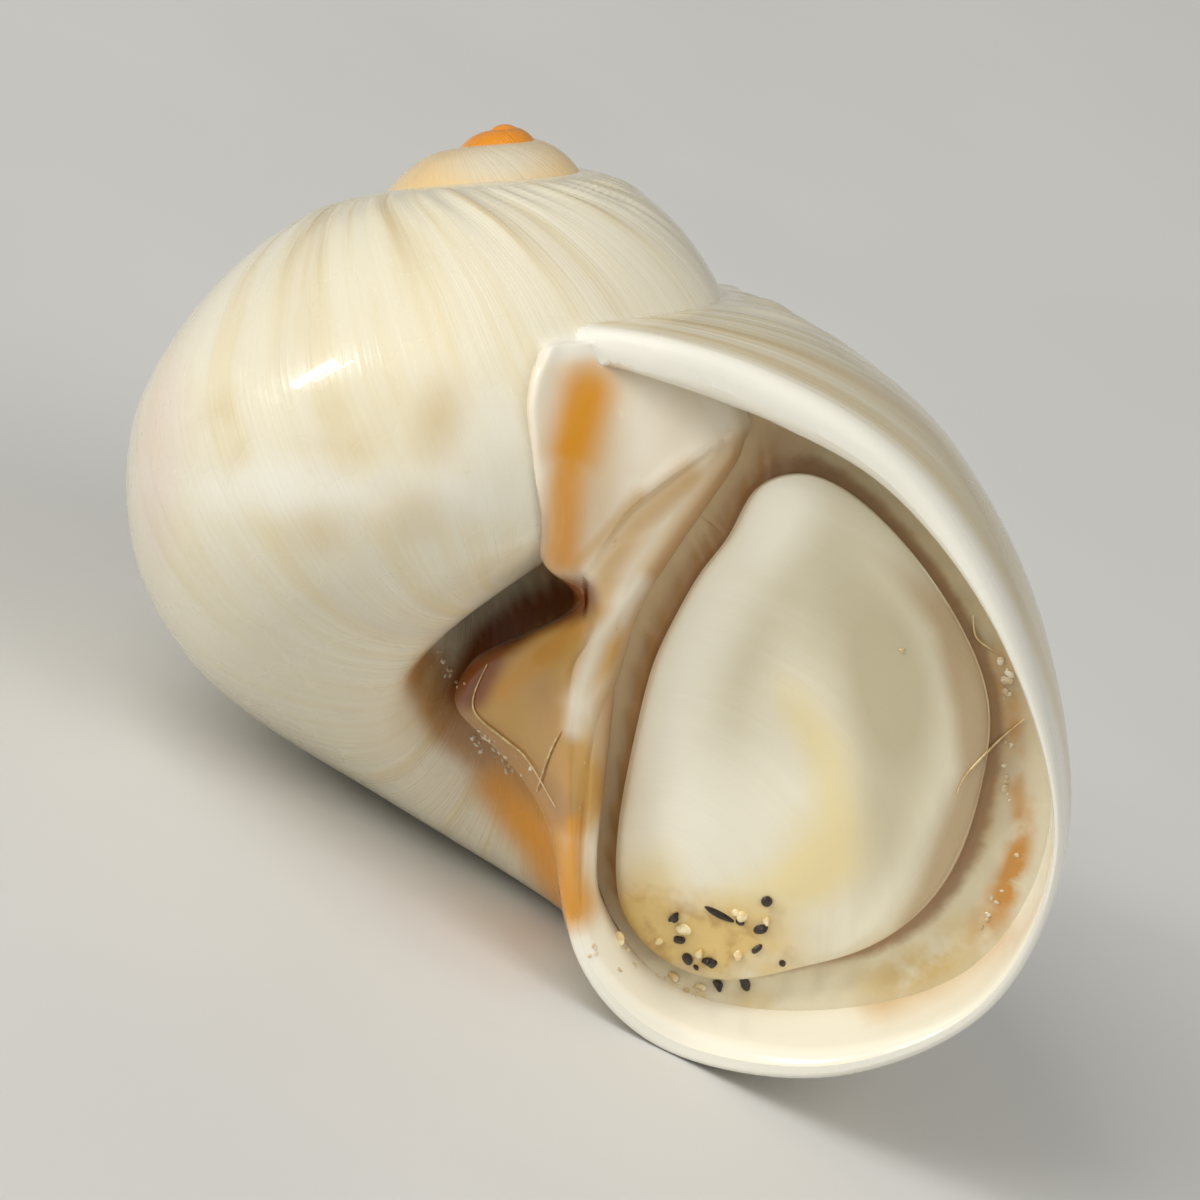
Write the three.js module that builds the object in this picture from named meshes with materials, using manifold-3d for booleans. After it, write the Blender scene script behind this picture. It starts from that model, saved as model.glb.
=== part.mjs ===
// A moon snail shell resting on its base with the spire up, and the operculum that closes it.
// Millimetres. +Z is up, the aperture faces -Y and somewhat up, and +X points to the outer lip.
import * as THREE from 'three';
import { mergeVertices } from 'three/addons/utils/BufferGeometryUtils.js';
import Module from 'manifold-3d';

const wasm = await Module();
wasm.setup();

// How the spiral grows: every whorl is this many times the size of the one before it
const GROWTH_PER_WHORL = 2.6;
const TURN = 360;
const GROWTH_RATE = Math.log(GROWTH_PER_WHORL) / THREE.MathUtils.degToRad(TURN);

// Landmarks round the section of the tube at full size, from the suture round the outer wall and
// the base, and back up the umbilicus: [distance from the axis, distance below the apex, lean].
// The lean is how many degrees further round the axis the lip reaches at that point.
const WHORL_LANDMARKS = {
  suture: [9, 5, 74],
  upperShoulder: [14.5, 7.5, 50],
  shoulder: [19.5, 12.5, 35],
  periphery: [23, 19.5, 26],
  lowerPeriphery: [22.5, 27.5, 18],
  base: [18.5, 33.5, 14],
  lowerBase: [12, 36.75, 12],
  umbilicusRim: [6.5, 37.5, 4],
  lowerUmbilicus: [3.75, 32, 17],
  umbilicus: [3.75, 24, 30],
  upperUmbilicus: [4.5, 14, 67],
  underSuture: [6, 6, 90],
};
// The same landmarks at the lip, where the tube is flatter: [distance from the axis, distance below
// the apex, thickness of the lip]
const LIP_LANDMARKS = {
  suture: [8.75, 6.5, 1.2],
  upperShoulder: [13, 8.25, 1.7],
  shoulder: [17.5, 12, 1.3],
  periphery: [21, 18.5, 0.7],
  lowerPeriphery: [22.25, 26.5, 0.5],
  base: [19.5, 33, 0.8],
  lowerBase: [13.5, 36, 1.1],
  umbilicusRim: [7, 36, 1.2],
  lowerUmbilicus: [3.25, 31, 0.8],
  umbilicus: [3.25, 24, 0.8],
  upperUmbilicus: [4.5, 14.5, 0.8],
  underSuture: [6, 7.5, 1],
};
const LIP_SHAPE_STARTS = -200;
const LEAN_STARTS = -220;

// The wall behind the lip, which is thicker round the back of the last whorl, and the share of the
// lip's thickness that is rounded off on each side
const INNER_WALL = 1.2;
const WALL_SETTLES_AT = -18;
const BACK_WALL = 3.6;
const BACK_WALL_FROM = -30;
const BACK_WALL_FULL = -46;
const BACK_WALL_UNTIL = -85;
const BACK_WALL_ENDS = -120;
const LIP_ROUNDING = 0.35;

// The first tiny whorl is a bead at the apex
const APEX_BEAD_RADIUS = 0.85;
const APEX_BEAD_DEPTH = 1.0;

// Growth angles where the tube and its cavity are parted, so that no stretch runs over itself
const TUBE_STRETCHES = [-1150, -910, -670, -430, -230, -110];
const CAVITY_DEEP_END = -350;
const CAVITY_SPLIT = -110;
const LAST_PLAIN_RING = -3;
const PAST_THE_LIP = 4;
const SIDES = 36;
const EARLY_STEP = 20;
const LATE_STEP = 12;
const LATE_STRETCHES_FROM = -430;

// Parietal callus, columella and funicle as level cuts: [height, [[x, z] round the cut]].
// Each cut runs from behind the left edge over the front to the crest, and down into the aperture.
const INNER_LIP_CUTS = [
  [-8.5, [[2.3, 8.4], [2.2, 9.9], [3.1, 10.2], [4.1, 10.1], [5.2, 9.8],
    [5.8, 9.6], [6.2, 9.3], [6.0, 7.4], [4.1, 7.0]]],
  [-9.4, [[1.8, 8.0], [1.7, 10.5], [2.7, 10.5], [4.1, 10.1], [5.6, 9.5],
    [6.6, 9.0], [7.6, 8.6], [7.8, 6.6], [5.2, 5.8]]],
  [-10.9, [[1.5, 7.8], [1.3, 11.0], [2.3, 10.8], [4.1, 10.0], [6.2, 9.0],
    [7.8, 8.3], [9.3, 7.4], [9.9, 5.1], [6.8, 4.3]]],
  [-12.5, [[1.7, 7.4], [1.3, 11.0], [2.4, 10.6], [4.5, 9.5], [8.2, 7.8],
    [8.9, 7.3], [9.5, 6.6], [9.8, 3.9], [6.8, 3.1]]],
  [-14.0, [[1.8, 7.0], [1.5, 10.5], [2.6, 9.9], [4.1, 9.2], [6.1, 8.3],
    [7.5, 7.1], [8.6, 5.8], [8.9, 3.1], [6.0, 2.3]]],
  [-15.6, [[2.1, 5.8], [1.8, 9.2], [2.7, 8.9], [3.5, 8.4], [4.5, 7.7],
    [6.0, 6.4], [7.5, 4.9], [7.9, 2.1], [5.2, 1.6]]],
  [-17.2, [[2.2, 4.3], [1.7, 6.8], [2.2, 7.0], [2.8, 7.0], [3.4, 6.9],
    [5.0, 5.8], [6.4, 4.1], [6.9, 1.4], [4.5, 0.8]]],
  [-18.1, [[3.1, 2.7], [3.0, 4.9], [3.3, 5.8], [3.7, 6.2], [4.1, 6.2],
    [5.0, 5.3], [5.9, 3.8], [6.3, 1.0], [4.5, 0.4]]],
  [-19.1, [[3.0, 1.6], [3.0, 3.7], [3.4, 5.0], [3.8, 5.6], [4.3, 5.7],
    [4.9, 4.9], [5.4, 3.5], [5.8, 0.6], [4.3, 0.0]]],
  [-20.3, [[0.6, 0.6], [0.6, 1.8], [2.1, 3.3], [3.3, 4.8], [3.7, 5.2],
    [4.4, 4.4], [5.0, 3.1], [5.4, 0.2], [3.7, -0.4]]],
  [-21.2, [[-0.5, 0.0], [-0.7, 1.1], [1.3, 2.6], [2.8, 4.3], [3.2, 4.8],
    [4.1, 4.0], [4.8, 2.7], [5.2, -0.2], [3.3, -0.8]]],
  [-22.8, [[-1.2, -0.7], [-1.3, 0.3], [0.8, 1.8], [2.5, 3.8], [3.1, 4.3],
    [3.8, 3.4], [4.3, 1.9], [4.7, -1.0], [2.9, -1.4]]],
  [-24.2, [[0.0, -0.9], [0.0, 0.1], [1.3, 1.4], [2.5, 3.4], [3.1, 3.7],
    [3.7, 2.9], [4.1, 1.5], [4.5, -1.6], [2.9, -1.8]]],
  [-25.7, [[1.3, -0.8], [1.3, 0.3], [2.0, 1.4], [2.7, 3.0], [3.1, 3.3],
    [3.6, 2.3], [4.0, 1.0], [4.3, -1.9], [3.0, -1.9]]],
  [-27.7, [[2.4, -0.6], [2.3, 0.5], [2.5, 1.6], [2.9, 2.4], [3.2, 2.6],
    [3.5, 1.6], [3.8, 0.2], [4.1, -2.3], [3.3, -2.3]]],
  [-30.0, [[2.7, -0.8], [2.7, 0.8], [2.9, 1.4], [3.1, 1.7], [3.4, 1.7],
    [3.6, 0.9], [3.8, -0.5], [4.3, -2.7], [3.4, -2.7]]],
  [-31.6, [[3.1, -1.2], [3.1, 0.4], [3.2, 0.7], [3.4, 0.9], [3.7, 0.8],
    [3.9, 0.0], [4.1, -1.2], [4.5, -2.9], [3.7, -2.9]]],
];

// The operculum: its outline seen from above, and the sloping plane that it lies in
const OPERCULUM_OUTLINE = [
  [12.2, -13.1], [10.6, -13.4], [9.7, -14.1], [9.1, -15.7], [8.4, -16.6], [7.7, -17.5], [6.7, -19.5],
  [6.0, -21.0], [5.5, -23.4], [4.9, -26.5], [4.7, -29.0], [4.9, -30.8], [5.8, -32.1], [7.1, -33.1],
  [8.7, -33.6], [10.3, -33.5], [12.3, -32.9], [14.4, -32.4], [16.4, -31.2], [17.8, -29.6], [18.7, -27.7],
  [19.3, -25.1], [19.6, -22.6], [18.9, -20.3], [17.5, -17.9], [16.0, -16.0], [14.2, -14.2],
];
const OPERCULUM_CENTRE = new THREE.Vector3(11.7, -24, 3.4);
const OPERCULUM_SLOPE_X = 0.232;
const OPERCULUM_SLOPE_Y = 0.357;
const OPERCULUM_THICKNESS = 0.9;
const OPERCULUM_DOME = 0.5;

// The way that points down, in the shell's own frame, where it stands still on its base.
// The spots that it stands on are worn flat by a hair.
const REST_DOWN = new THREE.Vector3(-0.39, -0.84, -0.36).normalize();
const REST_FLAT_DEPTH = 0.25;
const WEAR_BLOCK = 100;
const APERTURE_FACES = new THREE.Vector3(0, 0, 1);

/** The turn from the shell's own frame to the surface: Z is up and the aperture faces the front, -Y. */
function settledTurn() {
  const up = REST_DOWN.clone().negate();
  const back = APERTURE_FACES.clone().projectOnPlane(up).normalize().negate();
  const right = new THREE.Vector3().crossVectors(back, up);
  const axes = new THREE.Matrix4().makeBasis(right, back, up);
  return new THREE.Quaternion().setFromRotationMatrix(axes.transpose());
}

/** A closed Catmull-Rom curve through rows of numbers, read at a position counted in points. */
function readClosedCurve(rows, position) {
  const count = rows.length;
  const start = Math.floor(position);
  const along = position - start;
  const [before, from, to, after] = [-1, 0, 1, 2].map((step) => rows[(start + step + count) % count]);
  return from.map((value, i) => {
    const slope = to[i] - before[i];
    const bend = 2 * before[i] - 5 * value + 4 * to[i] - after[i];
    const twist = 3 * value - before[i] - 3 * to[i] + after[i];
    return value + 0.5 * along * (slope + along * (bend + along * twist));
  });
}

/** Sampled rows of a closed curve, evenly spaced between its points. */
function sampleClosedCurve(rows, sides) {
  return Array.from({ length: sides }, (_, i) => readClosedCurve(rows, (i * rows.length) / sides));
}

/** The section moved inwards, each point along its own normal by its own distance. */
function insetSection(section, distances) {
  return section.map(([r, h], i) => {
    const next = section[(i + 1) % section.length];
    const last = section[(i + section.length - 1) % section.length];
    const along = new THREE.Vector2(next[0] - last[0], next[1] - last[1]).normalize();
    return [r - along.y * distances[i], h + along.x * distances[i]];
  });
}

/** How thick the wall is at one growth angle, at full size. */
function wallThickness(angle) {
  const rise = THREE.MathUtils.smoothstep(-angle, -BACK_WALL_FROM, -BACK_WALL_FULL);
  const fall = THREE.MathUtils.smoothstep(-angle, -BACK_WALL_UNTIL, -BACK_WALL_ENDS);
  return THREE.MathUtils.lerp(INNER_WALL, BACK_WALL, rise - fall);
}

/** The ring of the tube at one growth angle, with a share of its wall taken off. */
function whorlRing(angle, wallShare = 0) {
  const whorl = sampleClosedCurve(Object.values(WHORL_LANDMARKS), SIDES);
  const lip = sampleClosedCurve(Object.values(LIP_LANDMARKS), SIDES);
  const behindLip = THREE.MathUtils.smoothstep(-angle, 0, -WALL_SETTLES_AT);
  const whorlWall = wallThickness(angle);
  const walls = lip.map(([, , lipWall]) => wallShare * THREE.MathUtils.lerp(lipWall, whorlWall, behindLip));
  const early = insetSection(whorl, walls);
  const late = insetSection(lip, walls);
  const leanShare = Math.max(0, 1 - angle / LEAN_STARTS);
  return whorl.map(([, , lean], i) => {
    const azimuth = angle + lean * leanShare;
    const share = THREE.MathUtils.smoothstep(azimuth, LIP_SHAPE_STARTS, 0);
    const size = Math.exp(GROWTH_RATE * THREE.MathUtils.degToRad(azimuth));
    const radius = size * THREE.MathUtils.lerp(early[i][0], late[i][0], share);
    const depth = size * THREE.MathUtils.lerp(early[i][1], late[i][1], share);
    const turn = THREE.MathUtils.degToRad(azimuth);
    return new THREE.Vector3(radius * Math.cos(turn), -depth, radius * Math.sin(turn));
  });
}

/** A closed body through rings of points, with a fan over each end. */
function loft(rings) {
  const sides = rings[0].length;
  const points = rings.flat();
  const triangles = [];
  for (let ring = 0; ring < rings.length - 1; ring += 1) {
    for (let i = 0; i < sides; i += 1) {
      const a = ring * sides + i;
      const b = ring * sides + ((i + 1) % sides);
      triangles.push(a, b, b + sides, a, b + sides, a + sides);
    }
  }
  const centre = (ring) => ring.reduce((sum, p) => sum.add(p), new THREE.Vector3()).divideScalar(sides);
  const firstCentre = points.push(centre(rings[0])) - 1;
  const lastCentre = points.push(centre(rings[rings.length - 1])) - 1;
  const lastRing = (rings.length - 1) * sides;
  for (let i = 0; i < sides; i += 1) {
    const next = (i + 1) % sides;
    triangles.push(firstCentre, next, i, lastCentre, lastRing + i, lastRing + next);
  }
  return toSolid(points, triangles);
}

/** A manifold solid of the points and triangles, turned the right way out. */
function toSolid(points, triangles) {
  const geometry = new THREE.BufferGeometry().setFromPoints(points);
  geometry.setIndex(triangles);
  const merged = mergeVertices(geometry, 1e-5);
  const triVerts = new Uint32Array(merged.index.array);
  const vertProperties = new Float32Array(merged.attributes.position.array);
  const corner = (i) => new THREE.Vector3().fromArray(vertProperties, 3 * triVerts[i]);
  let volume = 0;
  for (let i = 0; i < triVerts.length; i += 3) {
    volume += corner(i).dot(corner(i + 1).cross(corner(i + 2)));
  }
  if (volume < 0) {
    for (let i = 0; i < triVerts.length; i += 3) {
      [triVerts[i], triVerts[i + 1]] = [triVerts[i + 1], triVerts[i]];
    }
  }
  return new wasm.Manifold(new wasm.Mesh({ numProp: 3, vertProperties, triVerts }));
}

/** The rings from one growth angle to another, in about equal steps. */
function rings(from, to, step, wallShare) {
  const count = Math.round((to - from) / step);
  const angle = (i) => from + ((to - from) * i) / count;
  return Array.from({ length: count + 1 }, (_, i) => whorlRing(angle(i), wallShare));
}

/** The filled tube, in stretches from the apex to the lip. */
function tubeStretches() {
  return TUBE_STRETCHES.map((from, i) => {
    const step = from < LATE_STRETCHES_FROM ? EARLY_STEP : LATE_STEP;
    if (i < TUBE_STRETCHES.length - 1) {
      return loft(rings(from, TUBE_STRETCHES[i + 1], step));
    }
    return loft([...rings(from, LAST_PLAIN_RING, step), whorlRing(0, LIP_ROUNDING)]);
  });
}

/** Joins solids into one. */
function join(solids) {
  return solids.reduce((whole, solid) => whole.add(solid));
}

/** The largest of a solid's separate bodies, without the slivers left where stretches meet. */
function largestBody(solid) {
  return solid.decompose().reduce((best, body) => (body.volume() > best.volume() ? body : best));
}

/** The callus on the parietal wall with the columella and the funicle, as one solid. */
function innerLip() {
  return loft(INNER_LIP_CUTS.map(([y, cut]) => cut.map(([x, z]) => new THREE.Vector3(x, y, z))));
}

/** A manifold solid of a closed three.js geometry. */
function geometrySolid(geometry) {
  const { position } = geometry.attributes;
  const corner = (_, i) => new THREE.Vector3().fromBufferAttribute(position, i);
  return toSolid(Array.from({ length: position.count }, corner), Array.from(geometry.index.array));
}

/** The bead that the first whorl begins as. */
function apexBead() {
  return geometrySolid(new THREE.SphereGeometry(APEX_BEAD_RADIUS, 16, 10).translate(0, -APEX_BEAD_DEPTH, 0));
}

/** A solid with the spot that it rests on worn flat. */
function wornWhereItRests(solid) {
  const { vertProperties } = solid.getMesh();
  let reach = 0;
  for (let i = 0; i < vertProperties.length; i += 3) {
    reach = Math.max(reach, new THREE.Vector3().fromArray(vertProperties, i).dot(REST_DOWN));
  }
  const block = new THREE.BoxGeometry(WEAR_BLOCK, WEAR_BLOCK, WEAR_BLOCK).translate(0, 0, -WEAR_BLOCK / 2);
  block.applyQuaternion(settledTurn().invert());
  const { x, y, z } = REST_DOWN.clone().multiplyScalar(reach - REST_FLAT_DEPTH);
  return solid.subtract(geometrySolid(block.translate(x, y, z)));
}

/** The shell: the tube and the inner lip, less the cavity, which leaves each earlier whorl whole. */
function shellSolid() {
  const stretches = tubeStretches();
  const callus = innerLip();
  const deepRings = rings(CAVITY_DEEP_END, CAVITY_SPLIT, LATE_STEP, 1);
  const deepCavity = loft(deepRings).subtract(join(stretches.slice(0, 3)));
  const outerRings = rings(CAVITY_SPLIT, LAST_PLAIN_RING, LATE_STEP, 1);
  outerRings.push(whorlRing(0, 1 - LIP_ROUNDING), whorlRing(PAST_THE_LIP, 1 - 2 * LIP_ROUNDING));
  const outerCavity = loft(outerRings).subtract(join(stretches.slice(0, 4))).subtract(callus);
  const whole = join([...stretches, apexBead(), callus]);
  return wornWhereItRests(largestBody(whole.subtract(outerCavity.add(deepCavity))));
}

/** The operculum: a thin, slightly domed plate with a rounded edge. */
function operculumSolid() {
  const ring = (scale, lift) => OPERCULUM_OUTLINE.map(([x, y]) => {
    const across = (x - OPERCULUM_CENTRE.x) * scale;
    const along = (y - OPERCULUM_CENTRE.y) * scale;
    const slope = OPERCULUM_SLOPE_X * across + OPERCULUM_SLOPE_Y * along;
    return new THREE.Vector3(across, along, slope + lift).add(OPERCULUM_CENTRE);
  });
  const top = (scale) => OPERCULUM_DOME * (1 - scale * scale);
  return loft([
    ring(0.4, -OPERCULUM_THICKNESS),
    ring(0.94, -OPERCULUM_THICKNESS),
    ring(1, -OPERCULUM_THICKNESS / 2),
    ring(0.96, 0),
    ring(0.7, top(0.7)),
    ring(0.35, top(0.35)),
  ]);
}

/** A named mesh of a solid. */
function toMesh(name, solid, material) {
  const { vertProperties, triVerts } = solid.getMesh();
  const geometry = new THREE.BufferGeometry();
  geometry.setAttribute('position', new THREE.BufferAttribute(new Float32Array(vertProperties), 3));
  geometry.setIndex(new THREE.BufferAttribute(new Uint32Array(triVerts), 1));
  geometry.computeVertexNormals();
  const mesh = new THREE.Mesh(geometry, material);
  mesh.name = name;
  return mesh;
}

const porcelain = new THREE.MeshStandardMaterial({ color: 0xe9dfc9, roughness: 0.25, metalness: 0 });
const plate = new THREE.MeshStandardMaterial({ color: 0xe6dcb8, roughness: 0.3, metalness: 0 });

const settled = new THREE.Group();
settled.quaternion.copy(settledTurn());
settled.add(toMesh('shell', shellSolid(), porcelain));
settled.add(toMesh('operculum', operculumSolid(), plate));

const object = new THREE.Group();
object.add(settled);
object.updateMatrixWorld(true);
const box = new THREE.Box3().setFromObject(object, true);
const middle = box.getCenter(new THREE.Vector3());
settled.position.set(-middle.x, -middle.y, -box.min.z);

export default object;
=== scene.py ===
import logging
import math
from dataclasses import dataclass, field
from enum import Enum
from typing import Any, Sequence

import bmesh
import bpy
import numpy as np
from mathutils import Matrix, Vector
from mathutils.bvhtree import BVHTree


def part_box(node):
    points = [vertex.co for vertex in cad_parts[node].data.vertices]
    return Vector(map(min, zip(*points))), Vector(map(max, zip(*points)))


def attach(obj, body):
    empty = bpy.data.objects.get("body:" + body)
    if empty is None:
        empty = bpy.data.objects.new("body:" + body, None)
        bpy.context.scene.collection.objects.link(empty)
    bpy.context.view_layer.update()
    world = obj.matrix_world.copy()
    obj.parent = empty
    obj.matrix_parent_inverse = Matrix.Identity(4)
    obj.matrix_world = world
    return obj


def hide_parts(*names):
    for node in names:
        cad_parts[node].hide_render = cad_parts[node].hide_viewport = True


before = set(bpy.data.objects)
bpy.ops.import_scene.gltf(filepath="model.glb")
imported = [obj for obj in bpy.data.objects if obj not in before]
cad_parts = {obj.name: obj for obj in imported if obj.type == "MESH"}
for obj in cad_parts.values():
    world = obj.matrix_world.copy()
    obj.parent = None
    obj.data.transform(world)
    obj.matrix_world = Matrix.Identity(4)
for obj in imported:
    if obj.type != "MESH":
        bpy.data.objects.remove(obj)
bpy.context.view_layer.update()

log = logging.getLogger("moon_snail")

MM = 0.001
TURN = 360.0
GROWTH_MAP = "growth"
WORLD_BODY = "root"

Colour = tuple[int, int, int]
Pixel = tuple[float, float]


class Combine(Enum):
    """How one solid is put together with another."""

    JOIN = "UNION"
    CUT = "DIFFERENCE"


class Side(Enum):
    """The surfaces of the shell that are dressed apart, by material slot."""

    OUTER = 0
    INSIDE = 1
    INNER_LIP = 2


def smoothstep(value: Any, low: float, high: float) -> Any:
    """An even ease from 0 at low to 1 at high."""
    share = np.clip((np.asarray(value, float) - low) / (high - low), 0.0, 1.0)
    return share * share * (3.0 - 2.0 * share)


def read_curve(rows: np.ndarray, positions: np.ndarray, closed: bool) -> np.ndarray:
    """Reads a Catmull-Rom curve through rows of numbers.

    Args:
        rows: One row of numbers for each point.
        positions: Where to read, counted in points.
        closed: Whether the curve runs from the last point to the first.

    Returns:
        One row for each position.
    """
    count = len(rows)
    start = np.floor(positions).astype(int)
    if not closed:
        start = np.minimum(start, count - 2)
    along = (positions - start)[:, None]

    def row(step: int) -> np.ndarray:
        """The rows that are a number of points from the start."""
        index = start + step
        return rows[index % count] if closed else rows[np.clip(index, 0, count - 1)]

    before, here, there, after = row(-1), row(0), row(1), row(2)
    bend = 2 * before - 5 * here + 4 * there - after
    twist = 3 * here - before - 3 * there + after
    return here + 0.5 * along * (there - before + along * (bend + along * twist))


def even_positions(count: int, samples: int, closed: bool) -> np.ndarray:
    """Evenly spaced positions along a curve of a number of points."""
    if closed:
        return np.arange(samples) * count / samples
    return np.linspace(0, count - 1, samples)


def stroke_distance(points: np.ndarray, stroke: Sequence[Pixel]) -> np.ndarray:
    """How far points on a plane lie from a line through a few places.

    Args:
        points: The points, one row for each.
        stroke: The places that the line runs through.

    Returns:
        The distance of each point.
    """
    best = np.full(len(points), np.inf)
    line = np.asarray(stroke, float)
    for start, end in zip(line[:-1], line[1:]):
        along = end - start
        share = np.clip(((points - start) @ along) / (along @ along), 0, 1)
        best = np.minimum(best, np.linalg.norm(points - start - share[:, None] * along, axis=1))
    return best


@dataclass(frozen=True)
class Pose:
    """How the shell stands, and how the camera sees it.

    The shell's own frame is in millimetres: the apex is at its origin, the axis runs down -Y and
    the aperture faces +Z.
    """

    rest_down: tuple[float, float, float] = (-0.39, -0.84, -0.36)
    pixel: float = 0.039
    apex_pixel: Pixel = (505.64, 120.19)
    image_size: int = 1200
    roll: float = -1.16
    tilt: float = -0.93
    distance: float = 1500.0

    def turn(self) -> np.ndarray:
        """The turn from the shell's own frame to the surface that it stands on."""
        up = -np.asarray(self.rest_down) / np.linalg.norm(self.rest_down)
        front = np.array([0.0, 0.0, 1.0])
        back = -(front - front @ up * up)
        back /= np.linalg.norm(back)
        return np.array([np.cross(back, up), back, up])

    def camera_axes(self) -> tuple[np.ndarray, np.ndarray, np.ndarray]:
        """The camera's right, its up and the way back to it, in the shell's own frame."""
        t, a = math.radians(self.tilt), math.radians(self.roll)
        tilted = np.array([[1, 0, 0], [0, math.cos(t), -math.sin(t)], [0, math.sin(t), math.cos(t)]])
        rolled = np.array([[math.cos(a), math.sin(a), 0], [-math.sin(a), math.cos(a), 0], [0, 0, 1]])
        seen = rolled @ tilted
        flip = np.array([1.0, -1.0, 1.0])
        return seen[0] * flip, -seen[1] * flip, seen[2] * flip

    def at_pixel(self, x: float, y: float, depth: float = 0.0) -> np.ndarray:
        """The place that a pixel shows, in the shell's own frame.

        Args:
            x: The pixel's place across.
            y: The pixel's place down.
            depth: How far in front of the apex the place is, in millimetres.

        Returns:
            The place.
        """
        right, up, back = self.camera_axes()
        across = (x - self.apex_pixel[0]) * self.pixel
        down = (y - self.apex_pixel[1]) * self.pixel
        return right * across - up * down + back * depth

    def eye(self) -> np.ndarray:
        """Where the camera is, in the shell's own frame."""
        middle = self.image_size / 2
        return self.at_pixel(middle, middle, self.distance)


@dataclass
class Stand:
    """Takes places in the shell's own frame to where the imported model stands, and back."""

    pose: Pose
    offset: np.ndarray

    def to_world(self, points: np.ndarray) -> np.ndarray:
        """Places in metres of places in the shell's own frame."""
        return (np.asarray(points) @ self.pose.turn().T + self.offset) * MM

    def to_local(self, points: np.ndarray) -> np.ndarray:
        """Places in the shell's own frame of places in metres."""
        return (np.asarray(points) / MM - self.offset) @ self.pose.turn()

    def direction(self, way: Sequence[float]) -> Vector:
        """A direction in the shell's own frame as one in the model's."""
        return Vector(self.pose.turn() @ np.asarray(way)).normalized()

    def matrix(self) -> Matrix:
        """The same as one matrix."""
        turn = self.pose.turn() * MM
        rows = [[*turn[i], self.offset[i] * MM] for i in range(3)]
        return Matrix([*rows, [0, 0, 0, 1]])

    def pixels(self, points: np.ndarray) -> np.ndarray:
        """The pixels that places are seen at, and how near they are.

        Args:
            points: The places in metres, one row for each.

        Returns:
            The x and y of the pixel and the millimetres towards the camera, one row for each.
        """
        right, up, back = self.pose.camera_axes()
        local = self.to_local(points)
        x = local @ right / self.pose.pixel + self.pose.apex_pixel[0]
        y = -(local @ up) / self.pose.pixel + self.pose.apex_pixel[1]
        return np.stack([x, y, local @ back], axis=1)

    def ray(self, x: float, y: float) -> tuple[Vector, Vector]:
        """The line of sight through a pixel: where it starts and its direction, in metres."""
        start = Vector(self.to_world(self.pose.eye()))
        through = Vector(self.to_world(self.pose.at_pixel(x, y)))
        return start, (through - start).normalized()


def deselect() -> None:
    """Deselects every object."""
    bpy.ops.object.select_all(action="DESELECT")


def make_active(piece: bpy.types.Object) -> None:
    """Selects one object alone and makes it the active one."""
    deselect()
    piece.select_set(True)
    bpy.context.view_layer.objects.active = piece


def new_piece(name: str, points: np.ndarray, faces: list[tuple[int, ...]]) -> bpy.types.Object:
    """An object of a mesh of points and faces.

    Args:
        name: Its name.
        points: Its points, in metres or millimetres.
        faces: The numbers of the points round each face.

    Returns:
        The object.
    """
    mesh = bpy.data.meshes.new(name)
    mesh.from_pydata(np.asarray(points, float).tolist(), [], faces)
    piece = bpy.data.objects.new(name, mesh)
    bpy.context.scene.collection.objects.link(piece)
    return piece


def face_outwards(piece: bpy.types.Object) -> None:
    """Turns every face of a closed mesh outwards.

    Args:
        piece: The object with the mesh.
    """
    shape = bmesh.new()
    shape.from_mesh(piece.data)
    bmesh.ops.recalc_face_normals(shape, faces=shape.faces)
    if shape.calc_volume(signed=True) < 0:
        bmesh.ops.reverse_faces(shape, faces=shape.faces)
    shape.to_mesh(piece.data)
    shape.free()


def loft(
    name: str, rings: Sequence[np.ndarray], ages: Sequence[np.ndarray], side: Side
) -> bpy.types.Object:
    """A closed body through rings of points, with a fan over each end.

    Args:
        name: The name of the piece.
        rings: Rings of equally many points.
        ages: What the growth map says across, for each point of each ring.
        side: The finish of its faces.

    Returns:
        The piece, with a growth map that runs along the rings and round them.
    """
    sides = len(rings[0])
    points = np.concatenate([*rings, [rings[0].mean(axis=0)], [rings[-1].mean(axis=0)]])
    first_centre, last_centre = len(points) - 2, len(points) - 1
    last_ring = (len(rings) - 1) * sides
    faces: list[tuple[int, ...]] = []
    places: list[tuple[float, float]] = []
    for ring in range(len(rings) - 1):
        for i in range(sides):
            a = ring * sides + i
            b = ring * sides + (i + 1) % sides
            faces.append((a, b, b + sides, a + sides))
            low, high = i / sides, (i + 1) / sides
            here, there, following = ages[ring], ages[ring + 1], (i + 1) % sides
            places += [(here[i], low), (here[following], high), (there[following], high), (there[i], low)]
    for i in range(sides):
        following = (i + 1) % sides
        low, high = i / sides, (i + 1) / sides
        first, last = ages[0], ages[-1]
        faces.append((first_centre, following, i))
        places += [(first[i], low), (first[following], high), (first[i], low)]
        faces.append((last_centre, last_ring + i, last_ring + following))
        places += [(last[i], low), (last[i], low), (last[following], high)]
    piece = new_piece(name, points, faces)
    growth = piece.data.uv_layers.new(name=GROWTH_MAP)
    growth.uv.foreach_set("vector", np.asarray(places, np.float32).ravel())
    for _ in Side:
        piece.data.materials.append(None)
    piece.data.polygons.foreach_set("material_index", np.full(len(faces), side.value, np.int32))
    face_outwards(piece)
    return piece


def combine(target: bpy.types.Object, tool: bpy.types.Object, how: Combine) -> None:
    """Joins a solid to another or cuts it away.

    Args:
        target: The solid that is changed.
        tool: The solid that is joined to it or cut away.
        how: Which of the two.
    """
    modifier = target.modifiers.new("combine", "BOOLEAN")
    modifier.operation = how.value
    modifier.solver = "MANIFOLD"
    modifier.object = tool
    make_active(target)
    bpy.ops.object.modifier_apply(modifier=modifier.name)


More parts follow.
